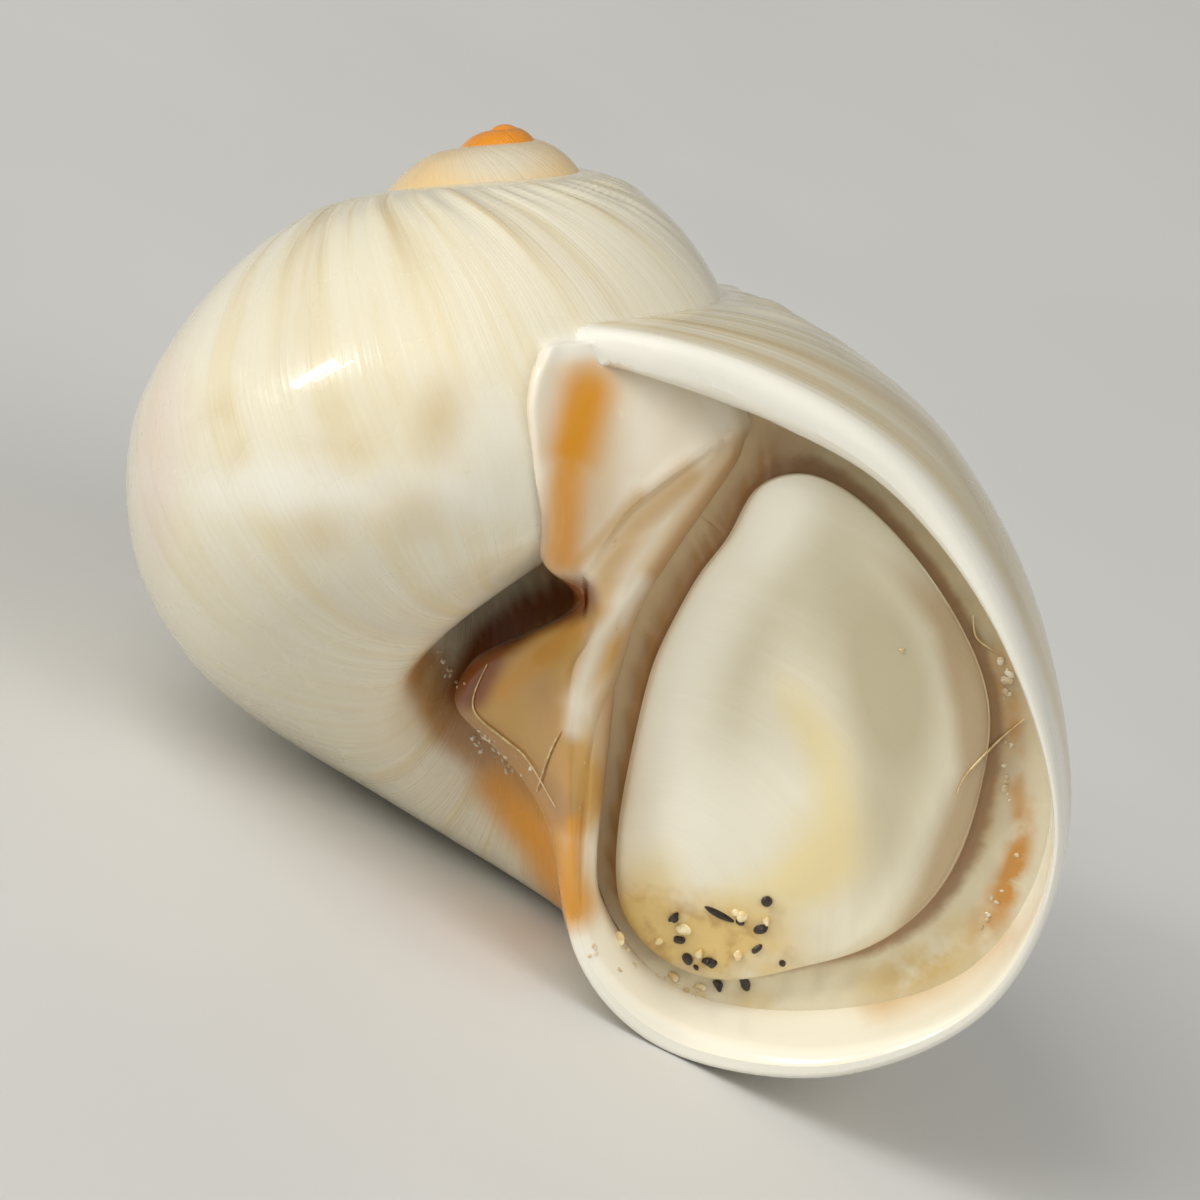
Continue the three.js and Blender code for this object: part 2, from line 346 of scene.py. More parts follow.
def keep_largest_body(piece: bpy.types.Object) -> bpy.types.Object:
    """Parts a mesh into its loose bodies and keeps the one with the most faces.

    Args:
        piece: The object with the mesh.

    Returns:
        The object that is kept.
    """
    make_active(piece)
    bpy.ops.mesh.separate(type="LOOSE")
    bodies = sorted(bpy.context.selected_objects, key=lambda body: len(body.data.polygons))
    for body in bodies[:-1]:
        bpy.data.objects.remove(body)
    return bodies[-1]


def remove(pieces: Sequence[bpy.types.Object]) -> None:
    """Deletes working pieces."""
    for piece in pieces:
        bpy.data.objects.remove(piece)


def shade_smooth(piece: bpy.types.Object, degrees: float) -> None:
    """Shades a piece smooth but for edges sharper than an angle."""
    make_active(piece)
    bpy.ops.object.shade_smooth_by_angle(angle=math.radians(degrees))


def points_of(piece: bpy.types.Object) -> np.ndarray:
    """The points of a piece's mesh, in metres."""
    flat = np.zeros(len(piece.data.vertices) * 3, np.float32)
    piece.data.vertices.foreach_get("co", flat)
    return flat.reshape(-1, 3).astype(float)


def normals_of(piece: bpy.types.Object) -> np.ndarray:
    """The normals at the points of a piece's mesh."""
    flat = np.zeros(len(piece.data.vertices) * 3, np.float32)
    piece.data.vertex_normals.foreach_get("vector", flat)
    return flat.reshape(-1, 3).astype(float)


def move_points(piece: bpy.types.Object, points: np.ndarray) -> None:
    """Puts the points of a piece's mesh at new places."""
    piece.data.vertices.foreach_set("co", points.astype(np.float32).ravel())
    piece.data.update()


def store(piece: bpy.types.Object, name: str, values: np.ndarray) -> None:
    """Stores a number for each point of a piece's mesh, for its material."""
    attribute = piece.data.attributes.new(name, "FLOAT", "POINT")
    attribute.data.foreach_set("value", values.astype(np.float32))


@dataclass
class Sock:
    """A node's output, with the arithmetic that adds Math nodes."""

    graph: "Graph"
    socket: bpy.types.NodeSocket

    def math(self, operation: str, first: Any, second: Any) -> "Sock":
        """One Math node on two values."""
        return self.graph.node("ShaderNodeMath", {"operation": operation}, {0: first, 1: second})

    def __add__(self, other: Any) -> "Sock":
        """Self plus other."""
        return self.math("ADD", self, other)

    def __radd__(self, other: Any) -> "Sock":
        """Other plus self."""
        return self.math("ADD", other, self)

    def __sub__(self, other: Any) -> "Sock":
        """Self less other."""
        return self.math("SUBTRACT", self, other)

    def __rsub__(self, other: Any) -> "Sock":
        """Other less self."""
        return self.math("SUBTRACT", other, self)

    def __mul__(self, other: Any) -> "Sock":
        """Self times other."""
        return self.math("MULTIPLY", self, other)

    def __rmul__(self, other: Any) -> "Sock":
        """Other times self."""
        return self.math("MULTIPLY", other, self)


@dataclass
class Graph:
    """The nodes of one material."""

    material: bpy.types.Material

    def node(self, kind: str, settings: dict[str, Any], inputs: dict[Any, Any], output: Any = 0) -> Sock:
        """Adds a node.

        Args:
            kind: The node's type.
            settings: Its settings, such as an operation, which are set first.
            inputs: Values or links by the sockets' names, identifiers or numbers.
            output: The name or the number of the output that is returned.

        Returns:
            The chosen output.
        """
        tree = self.material.node_tree
        added = tree.nodes.new(kind)
        for name, value in settings.items():
            setattr(added, name, value)
        for key, value in inputs.items():
            if isinstance(key, int):
                socket = added.inputs[key]
            else:
                socket = next(s for s in added.inputs if key in (s.identifier, s.name) and s.enabled)
            if isinstance(value, Sock):
                tree.links.new(value.socket, socket)
            else:
                socket.default_value = value
        return Sock(self, added.outputs[output])

    def mix(self, share: Any, first: Any, second: Any) -> Sock:
        """A colour between two colours.

        Args:
            share: How much of the second colour there is, from 0 to 1.
            first: The first colour, as it shows on a screen or as a link.
            second: The second colour, in the same way.

        Returns:
            The colour.
        """
        return self.node(
            "ShaderNodeMix",
            {"data_type": "RGBA"},
            {"Factor_Float": share, "A_Color": tone(first), "B_Color": tone(second)},
            2,
        )

    def ease(self, value: Any, low: float, high: float) -> Sock:
        """An even ease from 0 at low to 1 at high."""
        ends = {"Value": value, "From Min": low, "From Max": high, "To Min": 0.0, "To Max": 1.0}
        return self.node("ShaderNodeMapRange", {"interpolation_type": "SMOOTHSTEP"}, ends)

    def combined(self, x: Any, y: Any, z: Any = 0.0) -> Sock:
        """A vector of three values."""
        return self.node("ShaderNodeCombineXYZ", {}, {"X": x, "Y": y, "Z": z})

    def noise(self, place: Sock, scale: float, detail: float = 3.0) -> Sock:
        """Soft noise, about 0.5 at its middle."""
        return self.node("ShaderNodeTexNoise", {}, {"Vector": place, "Scale": scale, "Detail": detail})

    def stored(self, name: str) -> Sock:
        """A number stored on the piece's points."""
        return self.node("ShaderNodeAttribute", {"attribute_name": name}, {}, "Fac")

    def growth(self) -> tuple[Sock, Sock]:
        """How far along the tube and how far round it a point of the shell is."""
        growth = self.node("ShaderNodeUVMap", {"uv_map": GROWTH_MAP}, {})
        along = self.node("ShaderNodeSeparateXYZ", {}, {0: growth}, 0)
        return along, Sock(self, along.socket.node.outputs[1])

    def place(self) -> Sock:
        """Object coordinates."""
        return self.node("ShaderNodeTexCoord", {}, {}, "Object")

    def dot(self, vector: Sock, way: Sequence[float]) -> Sock:
        """The dot product of a vector with a fixed one."""
        settings = {"operation": "DOT_PRODUCT"}
        return self.node("ShaderNodeVectorMath", settings, {0: vector, 1: tuple(way)}, 1)

    def spot(self, plane: Sock, spot: "Spot") -> Sock:
        """A value of 1 in the middle of a spot on a plane, and 0 round it.

        Args:
            plane: The x and y of the point that is shaded.
            spot: The spot.

        Returns:
            The value.
        """
        settings = {"vector_type": "TEXTURE"}
        turn = (0.0, 0.0, math.radians(spot.turn))
        inputs = {"Vector": plane, "Location": (spot.x, spot.y, 0.0), "Rotation": turn}
        inputs["Scale"] = (spot.width, spot.height, 1.0)
        moved = self.node("ShaderNodeMapping", settings, inputs)
        reach = self.node("ShaderNodeVectorMath", {"operation": "LENGTH"}, {0: moved}, 1)
        return self.ease(reach, 1.0 + spot.softness, 1.0 - spot.softness)

    def spots(self, plane: Sock, spots: Sequence["Spot"]) -> Sock:
        """The sum of spots on a plane, each times its strength.

        Args:
            plane: The x and y of the point that is shaded.
            spots: The spots.

        Returns:
            The sum.
        """
        whole: Any = 0.0
        for spot in spots:
            whole = self.spot(plane, spot) * spot.strength + whole
        return whole

    def bump(self, height: Sock, distance: float, strength: float = 1.0) -> Sock:
        """A normal that follows a height."""
        inputs = {"Height": height, "Distance": distance, "Strength": strength}
        return self.node("ShaderNodeBump", {}, inputs)


@dataclass(frozen=True)
class Spot:
    """A soft oval on the plane that the camera sees, in pixels of its image."""

    x: float
    y: float
    width: float
    height: float
    turn: float = 0.0
    strength: float = 1.0
    softness: float = 0.8


def tone(colour: Any) -> Any:
    """A colour for a socket.

    Args:
        colour: Red, green and blue from 0 to 255 as they show on a screen, or a link.

    Returns:
        The colour with linear shares and an alpha, or the link as it was.
    """
    if not (isinstance(colour, tuple) and len(colour) == 3):
        return colour
    shares = [value / 255 for value in colour]
    linear = [s / 12.92 if s <= 0.04045 else ((s + 0.055) / 1.055) ** 2.4 for s in shares]
    return (*linear, 1.0)


@dataclass(frozen=True)
class Surface:
    """The even values of a finish."""

    roughness: float = 0.3
    coat: float = 0.5
    coat_roughness: float = 0.05
    subsurface: float = 0.0
    subsurface_radius: tuple[float, float, float] = (1.0, 0.85, 0.7)
    subsurface_scale: float = 0.001

    def start(self, name: str) -> tuple[Graph, bpy.types.Node]:
        """A new material with this surface.

        Args:
            name: The material's name.

        Returns:
            The material's graph and its Principled BSDF node.
        """
        material = bpy.data.materials.new(name)
        material.use_nodes = True
        shader = material.node_tree.nodes["Principled BSDF"]
        shader.inputs["Roughness"].default_value = self.roughness
        shader.inputs["Coat Weight"].default_value = self.coat
        shader.inputs["Coat Roughness"].default_value = self.coat_roughness
        shader.inputs["Subsurface Weight"].default_value = self.subsurface
        shader.inputs["Subsurface Radius"].default_value = self.subsurface_radius
        shader.inputs["Subsurface Scale"].default_value = self.subsurface_scale
        return Graph(material), shader


def connect(graph: Graph, shader: bpy.types.Node, links: dict[str, Sock]) -> None:
    """Links values to a shader's sockets."""
    for name, value in links.items():
        graph.material.node_tree.links.new(value.socket, shader.inputs[name])


@dataclass(frozen=True)
class SeenPlane:
    """The plane that the camera sees, as a shader reads it from Object coordinates."""

    stand: Stand

    def read(self, graph: Graph) -> tuple[Sock, Sock]:
        """Where the camera sees the point that is shaded.

        Args:
            graph: The material's graph.

        Returns:
            The depth in millimetres, and the pixel's x and y as one vector.
        """
        right, up, back = self.stand.pose.camera_axes()
        zero = self.stand.pixels(np.zeros((1, 3)))[0]
        per_pixel = 1 / (MM * self.stand.pose.pixel)
        turn = self.stand.pose.turn()
        place = graph.place()
        x = graph.dot(place, turn @ right * per_pixel) + float(zero[0])
        y = graph.dot(place, turn @ up * -per_pixel) + float(zero[1])
        depth = graph.dot(place, turn @ back / MM) + float(zero[2])
        return depth, graph.combined(x, y)


@dataclass(frozen=True)
class OuterFinish:
    """The outside of the whorls: glossy cream porcelain with growth streaks and faint blotches."""

    surface: Surface = Surface(0.3, 0.6, 0.04)
    cream: Colour = (230, 224, 202)
    white: Colour = (238, 236, 224)
    warm_streak: Colour = (222, 206, 160)
    grey_streak: Colour = (204, 196, 176)
    blotch: Colour = (208, 186, 140)
    dorsal: Colour = (206, 190, 150)
    peach: Colour = (230, 200, 146)
    spire_grey: Colour = (216, 208, 186)
    apex: Colour = (232, 146, 24)
    brown: Colour = (180, 136, 84)
    orange: Colour = (222, 150, 30)
    # Brown of the umbilicus wall, made dark enough to serve as painted shade in the open hole.
    dark: Colour = (140, 78, 32)
    ochre: Colour = (204, 160, 86)
    # Painted shade colour down the left side of the body whorl.
    painted_shade_pink: Colour = (222, 204, 192)
    grooves: Colour = (188, 164, 116)
    blotches: tuple[Spot, ...] = (
        Spot(230, 432, 18, 30, 10, 0.75, 1.0),
        Spot(345, 434, 30, 28, 0, 0.6, 1.0),
        Spot(440, 420, 22, 34, 10, 0.7, 1.0),
        Spot(325, 532, 32, 24, 0, 0.5, 1.0),
        Spot(412, 512, 28, 24, 0, 0.5, 1.0),
        Spot(190, 440, 18, 44, 0, 0.4, 1.0),
    )
    white_band: tuple[Spot, ...] = (
        Spot(300, 490, 190, 26, 4, 0.75),
        Spot(480, 440, 60, 60, 0, 0.5),
    )
    # Painted shade: a pinkish darkening down the left side of the body whorl.
    shaded: tuple[Spot, ...] = (Spot(150, 480, 26, 140, 6, 0.6),)
    spire_patch: tuple[Spot, ...] = (Spot(500, 162, 46, 22, -4, 0.9),)
    streak_scale: tuple[float, float] = (46.0, 2.2)
    broad_scale: tuple[float, float] = (14.0, 1.6)
    line_scale: tuple[float, float] = (260.0, 3.0)
    fine_scale: tuple[float, float] = (900.0, 5.0)
    cloud_scale: float = 260.0
    grain_scale: float = 1400.0
    front_depths: tuple[float, float] = (-1.0, 3.0)
    dorsal_ages: tuple[float, float] = (-0.16, -0.06)
    spire_ages: tuple[float, float] = (-1.25, -1.45)
    apex_ages: tuple[float, float] = (-2.12, -2.26)
    lip_ages: tuple[float, float] = (-0.02, -0.004)
    groove_reach: tuple[float, float] = (0.2, 0.04)
    rim_starts: tuple[float, float] = (0.54, 0.6)
    hollow_starts: tuple[float, float] = (0.55, 0.6)
    relief: float = 0.00009
    least_roughness: float = 0.24
    dull_share: float = 0.28

    def material(self, stand: Stand) -> bpy.types.Material:
        """The finish as a material.

        Args:
            stand: Where the shell stands, and how it is seen.

        Returns:
            The material.
        """
        graph, shader = self.surface.start("outer_glaze")
        depth, plane = SeenPlane(stand).read(graph)
        along, around = graph.growth()
        front = graph.ease(depth, *self.front_depths)
        streaks = self.pattern(graph, along, around, self.streak_scale, 0.0, 4.0)
        broad = self.pattern(graph, along, around, self.broad_scale, 3.0, 2.0)
        lines = self.pattern(graph, along, around, self.line_scale, 7.0, 3.0)
        fine = self.pattern(graph, along, around, self.fine_scale, 2.0, 2.0)
        clouds = graph.noise(graph.place(), self.cloud_scale, 3.0)
        colour = graph.mix(graph.ease(streaks, 0.42, 0.72) * 0.55, self.cream, self.warm_streak)
        colour = graph.mix(graph.ease(broad, 0.5, 0.75) * 0.5, colour, self.grey_streak)
        colour = graph.mix(graph.ease(lines, 0.5, 0.8) * 0.22, colour, self.warm_streak)
        dorsal = graph.ease(along, *self.dorsal_ages) * graph.ease(streaks, 0.3, 0.62)
        colour = graph.mix(dorsal * 0.7, colour, self.dorsal)
        band = graph.spots(plane, self.white_band) * front * graph.ease(clouds, 0.25, 0.6)
        colour = graph.mix(band, colour, self.white)
        blotches = graph.spots(plane, self.blotches) * front * graph.ease(clouds, 0.3, 0.6)
        colour = graph.mix(blotches, colour, self.blotch)
        # Painted shade down the left side of the body whorl.
        colour = graph.mix(graph.spots(plane, self.shaded) * front, colour, self.painted_shade_pink)
        groove = graph.ease(streaks, 0.52, 0.7) * graph.ease(around, *self.groove_reach)
        colour = graph.mix(groove * 0.6, colour, self.grooves)
        patch = graph.spots(plane, self.spire_patch) * graph.ease(clouds, 0.3, 0.55)
        spire = graph.mix(patch, self.peach, self.spire_grey)
        colour = graph.mix(graph.ease(along, *self.spire_ages), colour, spire)
        colour = graph.mix(graph.ease(along, *self.apex_ages), colour, self.apex)
        colour = graph.mix(graph.ease(along, *self.lip_ages), colour, self.white)
        colour = self.stained(graph, colour, clouds, around)
        grain = graph.noise(graph.place(), self.grain_scale, 2.0)
        height = lines * 0.6 + streaks + fine * 0.12 + grain * 0.12
        gloss = graph.ease(clouds, 0.3, 0.8) * 0.14 + self.least_roughness
        # Where the umbilicus is painted with shade, the coat is dulled too.
        dull = (graph.stored("dark") + graph.stored("painted_hole_shade")) * self.dull_share
        links = {"Base Color": colour, "Roughness": gloss, "Coat Weight": self.surface.coat - dull}
        links["Normal"] = graph.bump(height, self.relief, 0.7)
        connect(graph, shader, links)
        return graph.material

    @staticmethod
    def pattern(
        graph: Graph, along: Sock, around: Sock, scale: tuple[float, float], slice_at: float, detail: float
    ) -> Sock:
        """Noise that is drawn out along the growth lines.

        Args:
            graph: The material's graph.
            along: How far along the tube a point is.
            around: How far round it.
            scale: How fine the noise is along the tube and round it.
            slice_at: Where the noise is cut, so that two patterns differ.
            detail: How many finer layers it has.

        Returns:
            The noise.
        """
        return graph.noise(graph.combined(along * scale[0], around * scale[1], slice_at), 1.0, detail)

    def stained(self, graph: Graph, colour: Any, clouds: Sock, around: Sock | None = None) -> Sock:
        """A colour under the stains stored on the shell's points, and under the painted shade of the open
        umbilicus.

        Args:
            graph: The material's graph.
            colour: The clean colour.
            clouds: Noise that breaks the stains up.
            around: How far round the section a point is, where the stains keep to the umbilicus.

        Returns:
            The stained colour.
        """
        worn = graph.ease(clouds, 0.15, 0.6)
        rim: Any = 1.0 if around is None else graph.ease(around, *self.rim_starts)
        hollow: Any = 1.0 if around is None else graph.ease(around, *self.hollow_starts)
        colour = graph.mix(graph.stored("ochre") * rim, colour, self.ochre)
        colour = graph.mix(graph.stored("brown") * (worn * 0.3 + 0.7) * hollow, colour, self.brown)
        colour = graph.mix(graph.stored("orange") * (worn * 0.25 + 0.75) * rim, colour, self.orange)
        colour = graph.mix(graph.stored("white"), colour, self.white)
        # Painted shade: the dark mark is the umbilicus's own brown wall, darkened to stand for the shade of
        # the open hole; the last mix paints a strip inside the hole dark as shade.
        colour = graph.mix(graph.stored("dark") * hollow, colour, self.dark)
        return graph.mix(graph.stored("painted_hole_shade"), colour, self.dark)


@dataclass(frozen=True)
class InsideFinish:
    """The inside of the last whorl: smooth, pale at the lip and brown further in."""

    surface: Surface = Surface(0.25, 0.4, 0.06)
    pale: Colour = (240, 236, 220)
    deep: Colour = (204, 176, 134)
    deep_ages: tuple[float, float] = (-0.03, -0.09)
    cloud_scale: float = 320.0
    relief_scale: float = 900.0
    relief: float = 0.00003
    outer: OuterFinish = OuterFinish()

    def material(self, stand: Stand) -> bpy.types.Material:
        """The finish as a material.

        Args:
            stand: Where the shell stands, and how it is seen.

        Returns:
            The material.
        """
        graph, shader = self.surface.start("inside_glaze")
        along, _ = graph.growth()
        clouds = graph.noise(graph.place(), self.cloud_scale, 3.0)
        colour = graph.mix(graph.ease(along, *self.deep_ages), self.pale, self.deep)
        colour = self.outer.stained(graph, colour, clouds)
        height = graph.noise(graph.place(), self.relief_scale, 3.0)
        links = {"Base Color": colour, "Normal": graph.bump(height, self.relief, 0.5)}
        connect(graph, shader, links)
        return graph.material


@dataclass(frozen=True)
class InnerLipFinish:
    """The callus, columella and funicle: a pinkish-white glaze with orange and brown stains."""

    surface: Surface = Surface(0.22, 0.5, 0.05)
    pad: Colour = (240, 228, 206)
    pale: Colour = (244, 238, 220)
    cloud_scale: float = 280.0
    relief_scale: float = 800.0
    relief: float = 0.00003
    outer: OuterFinish = OuterFinish()

    def material(self, stand: Stand) -> bpy.types.Material:
        """The finish as a material.

        Args:
            stand: Where the shell stands, and how it is seen.

        Returns:
            The material.
        """
        graph, shader = self.surface.start("inner_lip_glaze")
        clouds = graph.noise(graph.place(), self.cloud_scale, 3.0)
        colour = graph.mix(graph.ease(clouds, 0.3, 0.7), self.pad, self.pale)
        colour = self.outer.stained(graph, colour, clouds)
        height = graph.noise(graph.place(), self.relief_scale, 3.0)
        links = {"Base Color": colour, "Normal": graph.bump(height, self.relief, 0.5)}
        connect(graph, shader, links)
        return graph.material


@dataclass(frozen=True)
class OperculumFinish:
    """The operculum: smooth cream-white, with growth arcs, a tan rim, an ochre stain, painted highlight on
    its top and left flank and painted shade on its right side.
    """

    surface: Surface = Surface(0.28, 0.5, 0.06)
    cream: Colour = (232, 225, 200)
    # The pale of the growth arcs, also the colour of the painted highlight.
    arc_and_highlight_white: Colour = (242, 238, 220)
    # Painted shade colour of the plate's right side.
    painted_shade_grey: Colour = (192, 182, 150)
    rim: Colour = (186, 160, 120)
    yellow: Colour = (236, 220, 168)
    ochre: Colour = (226, 196, 126)
    swirl: Colour = (200, 162, 96)
    nucleus: Pixel = (640.0, 925.0)
    cloud_scale: float = 300.0
    swirl_scale: float = 900.0
    grain_scale: float = 1500.0
    arcs_per_pixel: float = 0.06
    relief: float = 0.00006
    # Painted highlight: the lit top and left flank of the plate.
    painted_highlight_spots: tuple[Spot, ...] = (
        Spot(782, 510, 30, 46, 24, 0.9, 0.9),
        Spot(700, 620, 34, 130, 27, 0.8, 0.9),
        Spot(668, 790, 40, 110, 8, 0.7, 0.9),
        Spot(740, 800, 60, 60, 0, 0.6, 1.0),
        Spot(700, 850, 60, 34, -10, 0.4, 1.0),
    )
    # Painted shade: the plate's right side and the valley down its middle.
    painted_shade_spots: tuple[Spot, ...] = (
        Spot(862, 620, 50, 90, -22, 0.9, 0.9),
        Spot(895, 740, 44, 90, 0, 0.9, 0.9),
        Spot(745, 660, 24, 80, 24, 0.45, 1.0),
        Spot(725, 745, 40, 26, -30, 0.4, 1.0),
        Spot(860, 850, 46, 40, 20, 0.5, 1.0),
    )
    yellow_spots: tuple[Spot, ...] = (
        Spot(800, 715, 16, 36, -24, 0.7, 1.0),
        Spot(832, 775, 20, 46, -10, 0.75, 1.0),
        Spot(825, 850, 34, 40, 30, 0.85, 0.9),
        Spot(775, 895, 60, 26, -24, 0.85, 0.9),
        Spot(650, 880, 26, 30, 20, 0.7, 1.0),
    )
    ochre_spots: tuple[Spot, ...] = (
        Spot(705, 930, 82, 34, 4, 1.0, 0.6),
        Spot(650, 920, 40, 40, 20, 0.9, 0.7),
        Spot(740, 965, 60, 26, 10, 0.7, 0.8),
    )

    def material(self, stand: Stand) -> bpy.types.Material:
        """The finish as a material.

        Args:
            stand: Where the shell stands, and how it is seen.

        Returns:
            The material.
        """
        graph, shader = self.surface.start("operculum_glaze")
        _, plane = SeenPlane(stand).read(graph)
        clouds = graph.noise(graph.place(), self.cloud_scale, 3.0)
        from_nucleus = graph.node(
            "ShaderNodeVectorMath", {"operation": "DISTANCE"}, {0: plane, 1: (*self.nucleus, 0.0)}, 1
        )
        arcs = graph.noise(graph.combined(from_nucleus * self.arcs_per_pixel, clouds * 1.5), 1.0, 3.0)
        colour = graph.mix(graph.ease(arcs, 0.4, 0.7) * 0.35, self.cream, self.arc_and_highlight_white)
        # Painted shade on the right side, then painted highlight on the left flank.
        colour = graph.mix(graph.spots(plane, self.painted_shade_spots), colour, self.painted_shade_grey)
        colour = graph.mix(graph.spots(plane, self.painted_highlight_spots), colour, self.arc_and_highlight_white)
        colour = graph.mix(graph.spots(plane, self.yellow_spots), colour, self.yellow)
        colour = graph.mix(graph.stored("rim") * 0.85, colour, self.rim)
        stain = graph.spots(plane, self.ochre_spots)
        swirls = graph.noise(graph.place(), self.swirl_scale, 4.0)
        stained = graph.mix(graph.ease(swirls, 0.45, 0.65), self.ochre, self.swirl)
        colour = graph.mix(stain * graph.ease(clouds, 0.25, 0.55), colour, stained)
        grain = graph.noise(graph.place(), self.grain_scale, 2.0)
        height = arcs + swirls * stain * 2.0 + grain * 0.15
        links = {"Base Color": colour, "Normal": graph.bump(height, self.relief, 0.6)}
        connect(graph, shader, links)
        return graph.material


@dataclass(frozen=True)
class TissueFinish:
    """The dried tissue: brown and amber, a little wrinkled, with a painted shade line along the plate's
    edge.
    """

    surface: Surface = Surface(0.35, 0.4, 0.1, 0.1)
    brown: Colour = (176, 138, 92)
    light: Colour = (206, 178, 132)
    # Painted shade colour of the dark line where the tissue runs under the plate.
    line: Colour = (140, 98, 56)
    amber: Colour = (206, 146, 66)
    ochre: Colour = (216, 190, 130)
    pale: Colour = (230, 220, 190)
    margin: Colour = (196, 178, 140)
    cloud_scale: float = 700.0
    fine_scale: float = 2200.0
    shade_under_plate_reach: tuple[float, float] = (0.4, 0.22)
    relief: float = 0.00012
    margin_spots: tuple[Spot, ...] = (
        Spot(900, 520, 90, 90, -40, 1.0, 0.5), Spot(985, 640, 60, 100, -22, 1.0, 0.5),
        Spot(850, 450, 60, 40, 20, 0.7, 0.8),
    )
    pale_spots: tuple[Spot, ...] = (
        Spot(760, 1010, 190, 50, -6, 1.0, 0.6), Spot(640, 960, 50, 50, 30, 0.7),
        Spot(1030, 870, 60, 130, 10, 1.0, 0.6), Spot(960, 950, 110, 60, -36, 1.0, 0.6),
    )
    amber_spots: tuple[Spot, ...] = (
        Spot(1018, 846, 12, 44, 12, 0.9), Spot(1000, 900, 16, 40, 28, 0.9),
        Spot(1004, 690, 12, 34, -10, 0.9), Spot(1015, 770, 8, 40, 0, 0.8),
    )
    ochre_spots: tuple[Spot, ...] = (
        Spot(905, 975, 46, 24, -20, 0.9), Spot(955, 945, 40, 26, -36, 0.7),
        Spot(985, 800, 12, 60, 8, 0.6), Spot(690, 1000, 90, 16, 4, 0.8),
    )

    def material(self, stand: Stand) -> bpy.types.Material:
        """The finish as a material.

        Args:
            stand: Where the shell stands, and how it is seen.

        Returns:
            The material.
        """
        graph, shader = self.surface.start("tissue_glaze")
        _, plane = SeenPlane(stand).read(graph)
        clouds = graph.noise(graph.place(), self.cloud_scale, 5.0)
        fine = graph.noise(graph.place(), self.fine_scale, 3.0)
        share = graph.stored("share")
        worn = graph.ease(clouds, 0.3, 0.6)
        colour = graph.mix(graph.ease(share + clouds * 0.3, 0.45, 1.0), self.brown, self.light)
        colour = graph.mix(graph.spots(plane, self.margin_spots), colour, self.margin)
        colour = graph.mix(graph.spots(plane, self.pale_spots), colour, self.pale)
        colour = graph.mix(graph.spots(plane, self.ochre_spots) * worn, colour, self.ochre)
        colour = graph.mix(graph.spots(plane, self.amber_spots) * worn, colour, self.amber)
        # Painted shade: a dark line along the plate's edge, where the tissue runs under it.
        shade_under_plate = graph.ease(share + fine * 0.1, *self.shade_under_plate_reach)
        colour = graph.mix(shade_under_plate * 0.8, colour, self.line)
        height = clouds + fine * 0.3
        connect(graph, shader, {"Base Color": colour, "Normal": graph.bump(height, self.relief, 0.7)})
        return graph.material


@dataclass(frozen=True)
class PlainFinish:
    """A finish of one colour broken up by noise."""

    name: str
    colour: Colour
    other: Colour
    surface: Surface = Surface(0.5, 0.1, 0.2)
    scale: float = 2500.0
    relief: float = 0.00003

    def material(self) -> bpy.types.Material:
        """The finish as a material."""
        graph, shader = self.surface.start(self.name)
        clouds = graph.noise(graph.place(), self.scale, 3.0)
        colour = graph.mix(graph.ease(clouds, 0.35, 0.65), self.colour, self.other)
        connect(graph, shader, {"Base Color": colour, "Normal": graph.bump(clouds, self.relief, 0.5)})
        return graph.material


